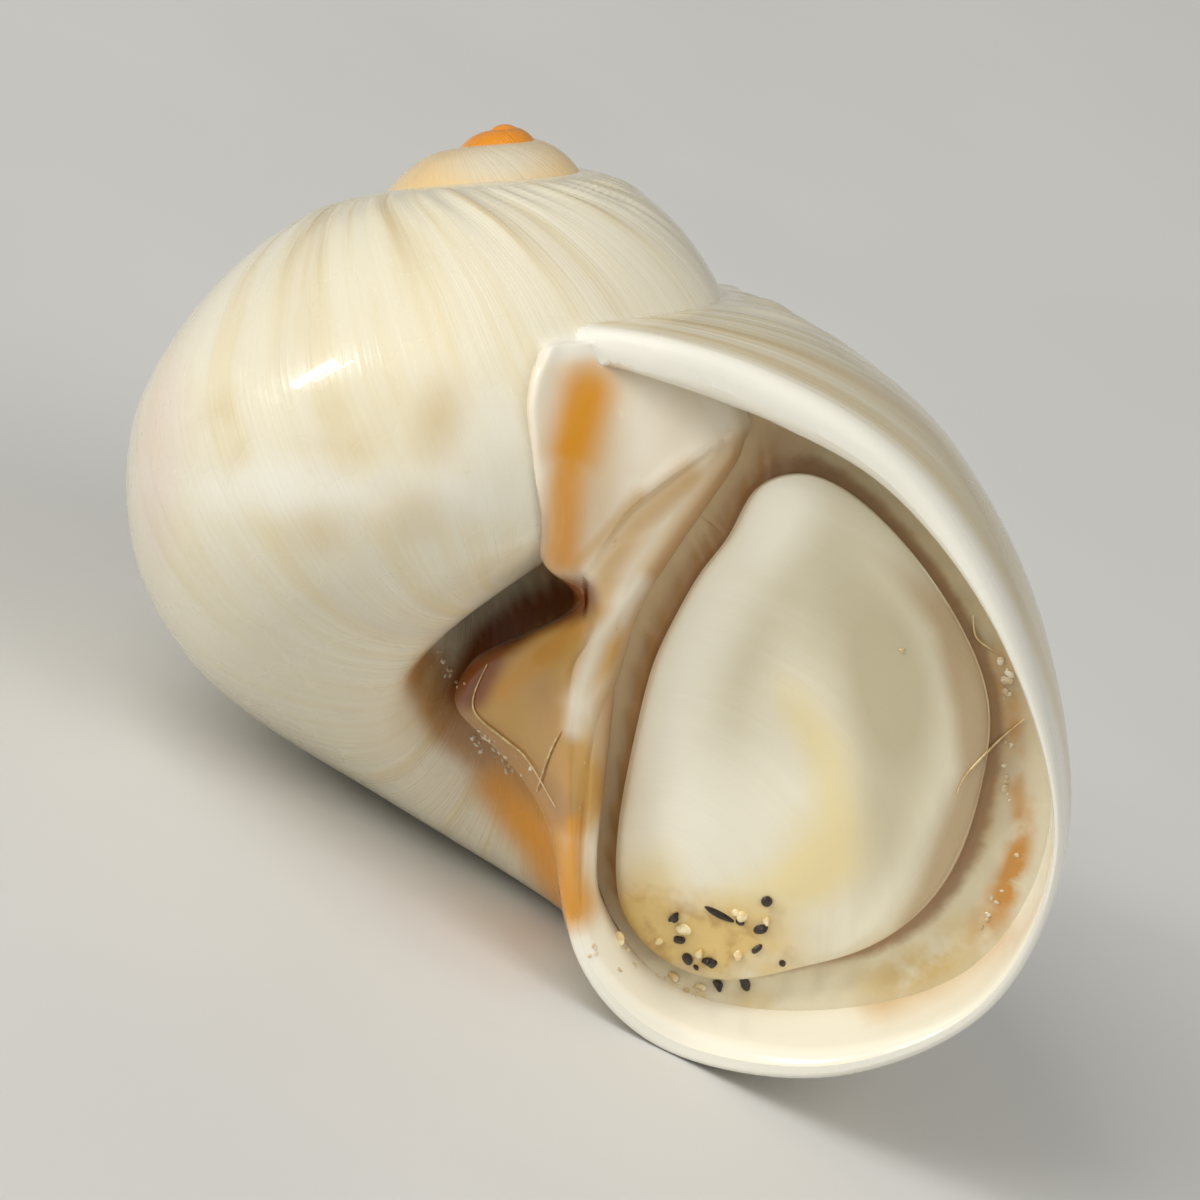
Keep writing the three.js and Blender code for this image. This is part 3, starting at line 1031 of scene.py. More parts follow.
@dataclass(frozen=True)
class Tube:
    """The coiled tube: its section, how it grows and the relief on its outside."""

    growth_per_whorl: float = 2.6
    landmarks: tuple[tuple[float, float, float], ...] = (
        (9, 5, 74), (14.5, 7.5, 50), (19.5, 12.5, 35), (23, 19.5, 26), (22.5, 27.5, 18), (18.5, 33.5, 14),
        (12, 36.75, 12), (6.5, 37.5, 4), (3.75, 32, 17), (3.75, 24, 30), (4.5, 14, 50), (6, 6, 84),
    )
    lip_landmarks: tuple[tuple[float, float, float], ...] = (
        (8.75, 6.5, 1.2), (13, 8.25, 1.7), (17.5, 12, 1.3), (21, 18.5, 0.7), (22.25, 26.5, 0.5),
        (19.5, 33, 0.8), (13.5, 36, 1.1), (7, 36, 1.2), (3.25, 31, 0.8), (3.25, 24, 0.8),
        (4.5, 14.5, 0.8), (6, 7.5, 1),
    )
    lip_shape_starts: float = -200.0
    lean_starts: float = -220.0
    inner_wall: float = 1.2
    wall_settles: float = 18.0
    back_wall: float = 3.6
    back_wall_rise: tuple[float, float] = (30.0, 46.0)
    back_wall_fall: tuple[float, float] = (85.0, 120.0)
    sides: int = 132
    pleat_height: float = 0.17
    pleat_spacing: float = 9.5
    pleats_until: float = 0.16
    pleats_fade_in: tuple[float, float] = (20.0, 60.0)
    pleats_fade_out: tuple[float, float] = (560.0, 640.0)

    def wall(self, angle: float) -> float:
        """How thick the wall is at a growth angle, at full size."""
        there = smoothstep(-angle, *self.back_wall_rise) - smoothstep(-angle, *self.back_wall_fall)
        return self.inner_wall + (self.back_wall - self.inner_wall) * float(there)

    def sampled(self, landmarks: tuple[tuple[float, float, float], ...]) -> np.ndarray:
        """The section through landmarks, at as many points as the tube has sides."""
        positions = even_positions(len(landmarks), self.sides, True)
        return read_curve(np.asarray(landmarks, float), positions, True)

    def azimuth(self, angle: float) -> np.ndarray:
        """How far round the axis each point of the ring at a growth angle lies, in degrees."""
        return angle + self.sampled(self.landmarks)[:, 2] * max(0.0, 1 - angle / self.lean_starts)

    def age(self, angle: float) -> np.ndarray:
        """How old each point of a ring is in whorls: 0 at the lip, and -1 a whorl back."""
        return (self.azimuth(angle) - self.sampled(self.landmarks)[:, 2]) / TURN

    def pleats(self, angle: float) -> np.ndarray:
        """How far the pleats under the suture stand out, round the section.

        Args:
            angle: The growth angle of the ring.

        Returns:
            The height at each point of the ring, at full size.
        """
        around = np.arange(self.sides) / self.sides
        until = self.pleats_until * (0.85 + 0.3 * np.sin(self.age(angle) * 41.0))
        under = smoothstep(around / until, 1.0, 0.2) * smoothstep(around, 0.0, 0.05)
        age = self.age(angle) * TURN
        drift = 2.4 * np.sin(np.radians(age * 2.9)) + 1.7 * np.sin(np.radians(age * 6.7 + 40))
        phase = np.radians(TURN * (age + drift) / self.pleat_spacing)
        wave = np.cos(phase) + 0.45 * np.cos(phase * 0.57)
        share = float(smoothstep(-angle, *self.pleats_fade_in))
        share *= 1 - float(smoothstep(-angle, *self.pleats_fade_out))
        return self.pleat_height * share * wave * under

    def ring(self, angle: float, wall_share: float = 0.0) -> np.ndarray:
        """The ring of the tube at one growth angle.

        Args:
            angle: The growth angle.
            wall_share: How much of its wall is taken off, from 0 for the outside to 1 for the inside.

        Returns:
            The points of the ring in millimetres.
        """
        whorl, lip = self.sampled(self.landmarks), self.sampled(self.lip_landmarks)
        behind = float(smoothstep(-angle, 0, self.wall_settles))
        walls = wall_share * (lip[:, 2] + (self.wall(angle) - lip[:, 2]) * behind)
        if wall_share == 0.0:
            walls = walls - self.pleats(angle)
        early, late = inset(whorl, walls), inset(lip, walls)
        azimuth = self.azimuth(angle)
        share = smoothstep(azimuth, self.lip_shape_starts, 0)[:, None]
        turn = np.radians(azimuth)
        size = np.exp(math.log(self.growth_per_whorl) / (2 * math.pi) * turn)
        radius, depth = ((early + (late - early) * share) * size[:, None]).T
        return np.stack([radius * np.cos(turn), -depth, radius * np.sin(turn)], axis=1)

    def rings(self, start: float, end: float, step: float, wall_share: float) -> tuple[list, list]:
        """The rings from one growth angle to another, and the ages at their points."""
        angles = np.linspace(start, end, round((end - start) / step) + 1)
        return [self.ring(a, wall_share) for a in angles], [self.age(a) for a in angles]


def inset(section: np.ndarray, walls: np.ndarray) -> np.ndarray:
    """The section moved inwards, each point along its own normal."""
    along = np.roll(section[:, :2], -1, axis=0) - np.roll(section[:, :2], 1, axis=0)
    along /= np.linalg.norm(along, axis=1)[:, None]
    return section[:, :2] + np.stack([-along[:, 1] * walls, along[:, 0] * walls], axis=1)


@dataclass(frozen=True)
class Stain:
    """A soft mark along a line through pixels of the image. Most are stains; the two kinds that darken the
    open umbilicus are painted shade.
    """

    kind: str
    line: tuple[Pixel, ...]
    width: float
    strength: float = 1.0
    core: float = 0.25


@dataclass(frozen=True)
class Fold:
    """A ridge along a line through pixels of the image, in millimetres high and pixels wide."""

    line: tuple[Pixel, ...]
    height: float
    width: float
    drop: float = 0.0
    drop_width: float = 60.0


@dataclass
class Shell:
    """The whole shell, which the spiral tube and the inner lip grow into one piece."""

    stand: Stand
    tube: Tube = Tube()
    stretches: tuple[float, ...] = (-1150, -910, -670, -430, -230, -110)
    early_step: float = 5.0
    late_step: float = 1.0
    late_from: float = -430.0
    cavity_step: float = 3.0
    cavity_ends: float = -350.0
    cavity_split: float = -110.0
    last_plain_ring: float = -3.0
    past_the_lip: float = 4.0
    lip_profile: tuple[tuple[float, float], ...] = (
        (-2.3, 0.01), (-1.6, 0.04), (-1.0, 0.09), (-0.5, 0.17), (-0.15, 0.27), (0.0, 0.38),
    )
    bead_radius: float = 0.85
    bead_depth: float = 1.0
    cuts: tuple[tuple[float, tuple[Pixel, ...]], ...] = (
        (-8.5, ((2.3, 8.4), (1.8, 10.9), (2.9, 10.7), (4.1, 10.1), (5.2, 9.8), (5.8, 9.6), (6.2, 9.3),
                (6.0, 7.4), (4.1, 7.0))),
        (-9.4, ((1.6, 8.0), (1.4, 11.3), (2.6, 11.0), (4.1, 10.1), (5.6, 9.5), (6.6, 9.0), (7.6, 8.6),
                (7.8, 6.6), (5.2, 5.8))),
        (-10.9, ((1.4, 7.8), (1.1, 11.4), (2.2, 11.0), (4.1, 10.0), (6.2, 9.0), (7.8, 8.3), (9.3, 7.4),
                 (9.9, 5.1), (6.8, 4.3))),
        (-12.5, ((1.7, 7.4), (1.3, 11.0), (2.4, 10.6), (4.5, 9.5), (8.2, 7.8), (8.9, 7.3), (9.5, 6.6),
                 (9.8, 3.9), (6.8, 3.1))),
        (-14.0, ((1.8, 7.0), (1.5, 10.5), (2.6, 9.9), (4.1, 9.2), (6.1, 8.3), (7.5, 7.1), (8.6, 5.8),
                 (8.9, 3.1), (6.0, 2.3))),
        (-15.6, ((2.1, 5.8), (1.8, 9.2), (2.7, 8.9), (3.5, 8.4), (4.5, 7.7), (6.0, 6.4), (7.5, 4.9),
                 (7.9, 2.1), (5.2, 1.6))),
        (-17.2, ((2.2, 4.3), (1.7, 6.8), (2.2, 7.0), (2.8, 7.0), (3.4, 6.9), (5.0, 5.8), (6.4, 4.1),
                 (6.9, 1.4), (4.5, 0.8))),
        (-18.1, ((3.1, 2.7), (3.0, 4.9), (3.3, 5.8), (3.7, 6.2), (4.1, 6.2), (5.0, 5.3), (5.9, 3.8),
                 (6.3, 1.0), (4.5, 0.4))),
        (-19.1, ((3.0, 1.6), (3.0, 3.7), (3.4, 5.0), (3.8, 5.6), (4.3, 5.7), (4.9, 4.9), (5.4, 3.5),
                 (5.8, 0.6), (4.3, 0.0))),
        (-20.3, ((0.6, 0.6), (0.6, 1.8), (2.1, 3.3), (3.3, 4.8), (3.7, 5.2), (4.4, 4.4), (5.0, 3.1),
                 (5.4, 0.2), (3.7, -0.4))),
        (-21.2, ((-0.5, 0.0), (-0.7, 1.1), (1.3, 2.6), (2.8, 4.3), (3.2, 4.8), (4.1, 4.0), (4.8, 2.7),
                 (5.2, -0.2), (3.3, -0.8))),
        (-22.8, ((-1.2, -0.7), (-1.3, 0.3), (0.8, 1.8), (2.5, 3.8), (3.1, 4.3), (3.8, 3.4), (4.3, 1.9),
                 (4.7, -1.0), (2.9, -1.4))),
        (-24.2, ((0.0, -0.9), (0.0, 0.1), (1.3, 1.4), (2.5, 3.4), (3.1, 3.7), (3.7, 2.9), (4.1, 1.5),
                 (4.5, -1.6), (2.9, -1.8))),
        (-25.7, ((1.3, -0.8), (1.3, 0.3), (2.0, 1.4), (2.7, 3.0), (3.1, 3.3), (3.6, 2.3), (4.0, 1.0),
                 (4.3, -1.9), (3.0, -1.9))),
        (-27.7, ((2.4, -0.6), (2.3, 0.5), (2.5, 1.6), (2.9, 2.4), (3.2, 2.6), (3.5, 1.6), (3.8, 0.2),
                 (4.1, -2.3), (3.3, -2.3))),
        (-30.0, ((2.7, -0.8), (2.7, 0.8), (2.9, 1.4), (3.1, 1.7), (3.4, 1.7), (3.6, 0.9), (3.8, -0.5),
                 (4.3, -2.7), (3.4, -2.7))),
        (-31.6, ((3.1, -1.2), (3.1, 0.4), (3.2, 0.7), (3.4, 0.9), (3.7, 0.8), (3.9, 0.0), (4.1, -1.2),
                 (4.5, -2.9), (3.7, -2.9))),
    )
    inner_lip_levels: int = 110
    inner_lip_sides: int = 108
    inner_lip_smoothing: int = 8
    stains: tuple[Stain, ...] = (
        Stain("white", ((556, 350), (600, 346), (650, 352)), 14, 0.8, 0.2),
        Stain("orange", ((586, 394), (578, 425), (572, 450)), 31, 1.0, 0.15),
        Stain("orange", ((574, 430), (566, 490), (562, 556)), 22, 0.95, 0.1),
        Stain("ochre", ((594, 385), (594, 450), (578, 520), (562, 560)), 38, 0.6, 0.0),
        Stain("ochre", ((640, 500), (600, 540), (572, 566)), 14, 0.7, 0.0),
        Stain("ochre", ((690, 478), (640, 522), (610, 566), (600, 600)), 20, 0.75, 0.0),
        Stain("ochre", ((580, 640), (530, 670), (505, 700), (545, 745), (565, 790)), 50, 1.0, 0.6),
        Stain("orange", ((578, 628), (530, 664), (502, 690)), 15, 0.5, 0.0),
        Stain("brown", ((545, 690), (556, 740), (566, 790)), 20, 0.5, 0.0),
        Stain("brown", ((752, 440), (715, 500), (661, 576), (636, 650), (618, 702), (606, 800)), 15, 0.8, 0),
        Stain("ochre", ((740, 450), (690, 520), (640, 600), (608, 700), (596, 800)), 26, 0.6, 0.0),
        Stain("brown", ((424, 668), (450, 725), (522, 775), (556, 808)), 26, 1.0, 0.4),
        # Painted shade: the next two darken the open umbilicus, the first over its brown wall and the second
        # over a lit strip inside the hole.
        Stain("dark", ((575, 598), (530, 612), (490, 645), (468, 690)), 22, 1.0, 0.5),
        Stain("painted_hole_shade", ((560, 590), (566, 604)), 13, 0.8, 0.3),
        Stain("ochre", ((500, 780), (545, 840), (570, 900)), 34, 0.9, 0.2),
        Stain("orange", ((500, 788), (545, 848), (570, 905)), 26, 1.0, 0.0),
        Stain("orange", ((574, 825), (572, 880)), 12, 0.8, 0.1),
        Stain("ochre", ((440, 706), (490, 764), (530, 812)), 20, 0.7, 0.0),
        Stain("white", ((640, 585), (598, 640), (580, 690), (575, 728)), 14, 0.7, 0.0),
        Stain("brown", ((1005, 684), (1012, 767), (996, 824), (965, 890), (925, 945)), 13, 0.7),
        Stain("orange", ((1022, 780), (1018, 850), (985, 925)), 14, 0.6),
        Stain("ochre", ((985, 930), (930, 970), (880, 992)), 30, 0.7),
    )
    folds: tuple[Fold, ...] = (
        Fold(((760, 424), (715, 441), (672, 472), (628, 506), (604, 541), (585, 570)), 0.16, 8, 0.4, 70),
        Fold(((640, 580), (598, 637), (580, 690), (572, 730)), 0.16, 8),
        Fold(((552, 350), (540, 380), (537, 407), (540, 450), (552, 504), (552, 545)), 0.14, 7),
        Fold(((488, 664), (473, 707), (505, 738), (528, 758), (557, 807)), 0.16, 6),
        Fold(((590, 740), (592, 836), (590, 905)), 0.1, 8),
    )
    joints: tuple[tuple[float, float, float], ...] = (
        (590, 345, 46), (630, 345, 34), (560, 575, 34), (585, 575, 34), (575, 810, 40), (560, 350, 30),
        (760, 425, 24), (592, 900, 26),
    )
    joint_smoothing: int = 14
    front_from: float = 1.0
    front_blend: float = 1.5
    stain_facing: tuple[float, float] = (-0.5, -0.2)
    deep_stretches: int = 3
    outer_stretches: int = 4
    smooth_below: float = 42.0
    piece: bpy.types.Object = field(init=False)

    def build(self) -> None:
        """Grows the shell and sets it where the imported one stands."""
        solids = self.tube_stretches()
        callus = self.inner_lip()
        deep = self.cavity(self.cavity_ends, self.cavity_split, False)
        for solid in solids[:self.deep_stretches]:
            combine(deep, solid, Combine.CUT)
        outer = self.cavity(self.cavity_split, self.last_plain_ring, True)
        for solid in (*solids[:self.outer_stretches], callus):
            combine(outer, solid, Combine.CUT)
        whole = solids[-1]
        bead = self.apex_bead()
        for solid in (*solids[:-1][::-1], bead, callus):
            combine(whole, solid, Combine.JOIN)
        combine(whole, outer, Combine.CUT)
        combine(whole, deep, Combine.CUT)
        remove((*solids[:-1], bead, callus, outer, deep))
        self.piece = keep_largest_body(whole)
        self.piece.name = "moon_snail_shell"
        self.piece.data.transform(self.stand.matrix())
        self.blend_joints()
        self.raise_folds()
        low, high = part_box("shell")
        move_points(self.piece, np.clip(points_of(self.piece), low, high))
        shade_smooth(self.piece, self.smooth_below)

    def front(self, seen: np.ndarray) -> np.ndarray:
        """1 for points in front of the apex and 0 for those behind it."""
        return smoothstep(seen[:, 2], self.front_from, self.front_from + self.front_blend)

    def blend_joints(self) -> None:
        """Smooths the places where the inner lip grows out of the last whorl."""
        seen = self.stand.pixels(points_of(self.piece))
        share = np.zeros(len(seen))
        for x, y, width in self.joints:
            away = np.hypot(seen[:, 0] - x, seen[:, 1] - y) / width
            share = np.maximum(share, smoothstep(away, 1.0, 0.5))
        share *= self.front(seen)
        group = self.piece.vertex_groups.new(name="joints")
        for vertex in np.nonzero(share > 0.01)[0]:
            group.add([int(vertex)], float(share[vertex]), "REPLACE")
        modifier = self.piece.modifiers.new("joints", "SMOOTH")
        modifier.factor = 0.5
        modifier.iterations = self.joint_smoothing
        modifier.vertex_group = group.name
        make_active(self.piece)
        bpy.ops.object.modifier_apply(modifier=modifier.name)
        self.piece.vertex_groups.clear()

    def raise_folds(self) -> None:
        """Raises the folds of the inner lip, and lowers what lies to the right of the first."""
        points = points_of(self.piece)
        seen = self.stand.pixels(points)
        to_camera = np.array(self.stand.direction(self.stand.pose.camera_axes()[2]))
        front = self.front(seen)
        lifted = np.zeros(len(points))
        for fold in self.folds:
            away = stroke_distance(seen[:, :2], fold.line)
            lifted += fold.height * np.exp(-((away / fold.width) ** 2))
            if fold.drop:
                line = np.asarray(fold.line, float)[::-1]
                at = np.interp(seen[:, 0], line[:, 0], line[:, 1])
                within = (seen[:, 0] > line[0, 0]) & (seen[:, 0] < line[-1, 0])
                below = smoothstep(seen[:, 1] - at, 0, fold.width * 1.5) * within
                lifted -= fold.drop * below * smoothstep(away, fold.drop_width, fold.width)
        move_points(self.piece, points + (lifted * front * MM)[:, None] * to_camera)

    def tube_stretches(self) -> list[bpy.types.Object]:
        """The filled tube in stretches, from the apex to the lip."""
        pieces = []
        ends = (*self.stretches[1:], self.last_plain_ring)
        for start, end in zip(self.stretches, ends):
            step = self.early_step if start < self.late_from else self.late_step
            rings, ages = self.tube.rings(start, end, step, 0.0)
            if end == self.last_plain_ring:
                rings += [self.tube.ring(angle, share) for angle, share in self.lip_profile]
                ages += [self.tube.age(angle) for angle, _ in self.lip_profile]
            pieces.append(loft("stretch", rings, ages, Side.OUTER))
        return pieces

    def cavity(self, start: float, end: float, opens: bool) -> bpy.types.Object:
        """The hollow of a stretch of the tube.

        Args:
            start: The growth angle that it starts at.
            end: The growth angle that it ends at.
            opens: Whether it runs on out past the lip.

        Returns:
            The hollow as a solid to cut away.
        """
        rings, ages = self.tube.rings(start, end, self.cavity_step, 1.0)
        if opens:
            profile = [(angle, 1 - share) for angle, share in self.lip_profile]
            profile.append((self.past_the_lip, 0.4))
            rings += [self.tube.ring(angle, share) for angle, share in profile]
            ages += [self.tube.age(angle) for angle, _ in profile]
        return loft("cavity", rings, ages, Side.INSIDE)

    def inner_lip(self) -> bpy.types.Object:
        """The callus on the parietal wall with the columella and the funicle."""
        heights = np.array([[height] for height, _ in self.cuts], float)
        cuts = np.array([cut for _, cut in self.cuts], float)
        levels = even_positions(len(cuts), self.inner_lip_levels, False)
        heights = read_curve(heights, levels, False)[:, 0]
        round_positions = even_positions(cuts.shape[1], self.inner_lip_sides, True)
        columns = read_curve(cuts.reshape(len(cuts), -1), levels, False)
        for _ in range(self.inner_lip_smoothing):
            columns[1:-1] = (columns[:-2] + 2 * columns[1:-1] + columns[2:]) / 4
        columns = columns.reshape(len(levels), -1, 2)
        rings = []
        for height, cut in zip(heights, columns):
            x, z = read_curve(cut, round_positions, True).T
            rings.append(np.stack([x, np.full_like(x, height), z], axis=1))
        ages = [np.full(self.inner_lip_sides, height) for height in heights]
        return loft("inner_lip", rings, ages, Side.INNER_LIP)

    def apex_bead(self) -> bpy.types.Object:
        """The bead that the first whorl begins as."""
        deselect()
        bpy.ops.mesh.primitive_uv_sphere_add(
            segments=32, ring_count=20, radius=self.bead_radius, location=(0, -self.bead_depth, 0)
        )
        bead = bpy.context.active_object
        bpy.ops.object.transform_apply(location=True, rotation=True, scale=True)
        layer = bead.data.uv_layers.active
        layer.name = GROWTH_MAP
        layer.uv.foreach_set("vector", np.tile([-3.0, 0.1], len(bead.data.loops)).astype(np.float32))
        for _ in Side:
            bead.data.materials.append(None)
        return bead

    def stain(self) -> None:
        """Stores how strong each kind of stain, and the painted shade of the umbilicus, is at every point
        that faces the camera.
        """
        seen = self.stand.pixels(points_of(self.piece))
        to_camera = self.stand.direction(self.stand.pose.camera_axes()[2])
        facing = smoothstep(normals_of(self.piece) @ np.array(to_camera), *self.stain_facing)
        for kind in ("orange", "brown", "dark", "ochre", "white", "painted_hole_shade"):
            whole = np.zeros(len(seen))
            for stain in self.stains:
                if stain.kind == kind:
                    away = stroke_distance(seen[:, :2], stain.line) / stain.width
                    whole = np.maximum(whole, stain.strength * smoothstep(away, 1.4, stain.core))
            store(self.piece, kind, whole * facing)

    def dress(self) -> None:
        """Gives the shell its finishes."""
        self.stain()
        finishes = {
            Side.OUTER: OuterFinish(),
            Side.INSIDE: InsideFinish(),
            Side.INNER_LIP: InnerLipFinish(),
        }
        for side, finish in finishes.items():
            self.piece.data.materials[side.value] = finish.material(self.stand)
        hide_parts("shell")
        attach(self.piece, WORLD_BODY)


@dataclass
class Operculum:
    """The thin plate in the aperture, thin at its edge and a little domed."""

    stand: Stand
    outline: tuple[Pixel, ...] = (
        (12.2, -13.1), (10.6, -13.4), (9.7, -14.1), (9.1, -15.7), (8.4, -16.6), (7.7, -17.5), (6.7, -19.5),
        (6.0, -21.0), (5.5, -23.4), (4.9, -26.5), (4.7, -29.0), (4.9, -30.8), (5.8, -32.1), (7.1, -33.1),
        (8.7, -33.6), (10.3, -33.5), (12.3, -32.9), (14.4, -32.4), (16.4, -31.2), (17.8, -29.6),
        (18.7, -27.7), (19.3, -25.1), (19.6, -22.6), (18.9, -20.3), (17.5, -17.9), (16.0, -16.0),
        (14.2, -14.2),
    )
    centre: tuple[float, float, float] = (11.7, -24.0, 3.4)
    slope: tuple[float, float] = (0.232, 0.357)
    thickness: float = 0.9
    dome: float = 0.5
    rim_scale: float = 0.96
    rings: tuple[tuple[float, float], ...] = (
        (0.4, -1.0), (0.94, -1.0), (1.0, -0.5), (0.96, 0.0), (0.7, 0.0), (0.35, 0.0),
    )
    smoothing: int = 3
    ridge: tuple[Pixel, ...] = (
        (820, 520), (850, 552), (887, 586), (922, 638), (939, 715), (946, 773), (925, 824), (904, 882),
        (880, 925), (840, 962),
    )
    ridge_starts: tuple[float, float] = (520.0, 600.0)
    ridge_height: float = 0.12
    ridge_width: float = 11.0
    swell: tuple[Pixel, ...] = ((785, 500), (740, 600), (700, 700), (672, 790), (668, 850))
    swell_height: float = 0.4
    swell_width: float = 70.0
    hollow: tuple[Pixel, ...] = ((830, 560), (800, 640), (770, 700), (790, 760))
    hollow_depth: float = 0.22
    hollow_width: float = 48.0
    arc: tuple[Pixel, ...] = ((795, 700), (828, 760), (835, 820), (800, 880), (740, 905), (650, 900))
    arc_height: float = 0.1
    arc_width: float = 22.0
    facing: tuple[float, float] = (0.5, 0.8)
    rim_drop: float = 0.2
    rim_drop_width: float = 40.0
    rim_colour_from: tuple[float, float] = (4.0, 24.0)
    outside_from: tuple[float, float] = (0.0, 8.0)
    outside_starts: tuple[float, float] = (530.0, 620.0)
    piece: bpy.types.Object = field(init=False)

    def corner_rings(self) -> np.ndarray:
        """The corners of the plate's rings.

        Returns:
            The corners of each ring, in the shell's own frame.
        """
        outline = np.asarray(self.outline, float) - np.asarray(self.centre[:2])
        rings = []
        for scale, level in self.rings:
            flat = outline * scale
            lift = level * self.thickness
            if level == 0.0 and scale < self.rim_scale:
                lift = self.dome * (1 - scale * scale)
            height = flat @ np.asarray(self.slope) + lift
            rings.append(np.column_stack([flat, height]) + np.asarray(self.centre))
        return np.array(rings)

    def build(self) -> None:
        """Raises the plate ring by ring from its outline, and smooths it."""
        rings = self.corner_rings()
        count = rings.shape[1]
        deselect()
        bpy.ops.mesh.primitive_circle_add(vertices=count, radius=1.0, fill_type="NGON")
        self.piece = bpy.context.active_object
        self.piece.name = "operculum_plate"
        for vertex, place in zip(self.piece.data.vertices, rings[0]):
            vertex.co = place
        bpy.ops.object.mode_set(mode="EDIT")
        bpy.ops.mesh.select_all(action="SELECT")
        bpy.ops.mesh.poke()
        bpy.ops.object.mode_set(mode="OBJECT")
        shape = bmesh.new()
        shape.from_mesh(self.piece.data)
        edge = [e for e in shape.edges if e.is_boundary]
        for ring in rings[1:]:
            raised = bmesh.ops.extrude_edge_only(shape, edges=edge)["geom"]
            corners = [item for item in raised if isinstance(item, bmesh.types.BMVert)]
            edge = [item for item in raised if isinstance(item, bmesh.types.BMEdge)]
            shape.verts.index_update()
            for corner in corners:
                ends = [e.other_vert(corner) for e in corner.link_edges if e not in edge]
                below = next(end for end in ends if end not in corners)
                corner.co = self.matching(ring, rings, below.co)
        cap = bmesh.ops.contextual_create(shape, geom=edge)["faces"]
        bmesh.ops.poke(shape, faces=cap)
        shape.to_mesh(self.piece.data)
        shape.free()
        face_outwards(self.piece)
        modifier = self.piece.modifiers.new("smooth", "SUBSURF")
        modifier.levels = modifier.render_levels = self.smoothing
        make_active(self.piece)
        bpy.ops.object.modifier_apply(modifier=modifier.name)
        self.piece.data.transform(self.stand.matrix())
        self.raise_ridge()
        low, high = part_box("operculum")
        move_points(self.piece, np.clip(points_of(self.piece), low, high))
        shade_smooth(self.piece, 60)

    @staticmethod
    def matching(ring: np.ndarray, rings: np.ndarray, below: Vector) -> Vector:
        """The corner of a ring that stands over a corner of the ring before it."""
        away = np.linalg.norm(rings - np.array(below), axis=2)
        return Vector(ring[np.unravel_index(away.argmin(), away.shape)[1]])

    def raise_ridge(self) -> None:
        """Raises the old growth edge a little, and lowers the rim outside it."""
        points = points_of(self.piece)
        seen = self.stand.pixels(points)[:, :2]
        away = stroke_distance(seen, self.ridge)
        to_camera = np.array(self.stand.direction(self.stand.pose.camera_axes()[2]))
        facing = smoothstep(normals_of(self.piece) @ to_camera, *self.facing)
        line = np.exp(-((away / self.ridge_width) ** 2)) * self.ridge_height
        line = line * smoothstep(seen[:, 1], *self.ridge_starts)
        for stroke, height, width in (
            (self.swell, self.swell_height, self.swell_width),
            (self.hollow, -self.hollow_depth, self.hollow_width),
            (self.arc, self.arc_height, self.arc_width),
        ):
            line = line + np.exp(-((stroke_distance(seen, stroke) / width) ** 2)) * height
        outside = self.outside(seen)
        lower = smoothstep(away, 0, self.rim_drop_width) * outside * self.rim_drop
        move_points(self.piece, points + (facing * (line - lower) * MM)[:, None] * to_camera)
        store(self.piece, "rim", smoothstep(away, *self.rim_colour_from) * outside)

    def outside(self, seen: np.ndarray) -> np.ndarray:
        """Which points lie to the right of the ridge.

        Args:
            seen: The pixels that the points are seen at.

        Returns:
            A value of 1 for each point that does, and 0 for the rest.
        """
        ridge = np.asarray(self.ridge, float)
        at = np.interp(seen[:, 1], ridge[:, 1], ridge[:, 0])
        beside = smoothstep(seen[:, 0] - at, *self.outside_from)
        return beside * smoothstep(seen[:, 1], *self.outside_starts)

    def dress(self) -> None:
        """Gives the plate its finish."""
        self.piece.data.materials.append(OperculumFinish().material(self.stand))
        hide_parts("operculum")
        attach(self.piece, WORLD_BODY)


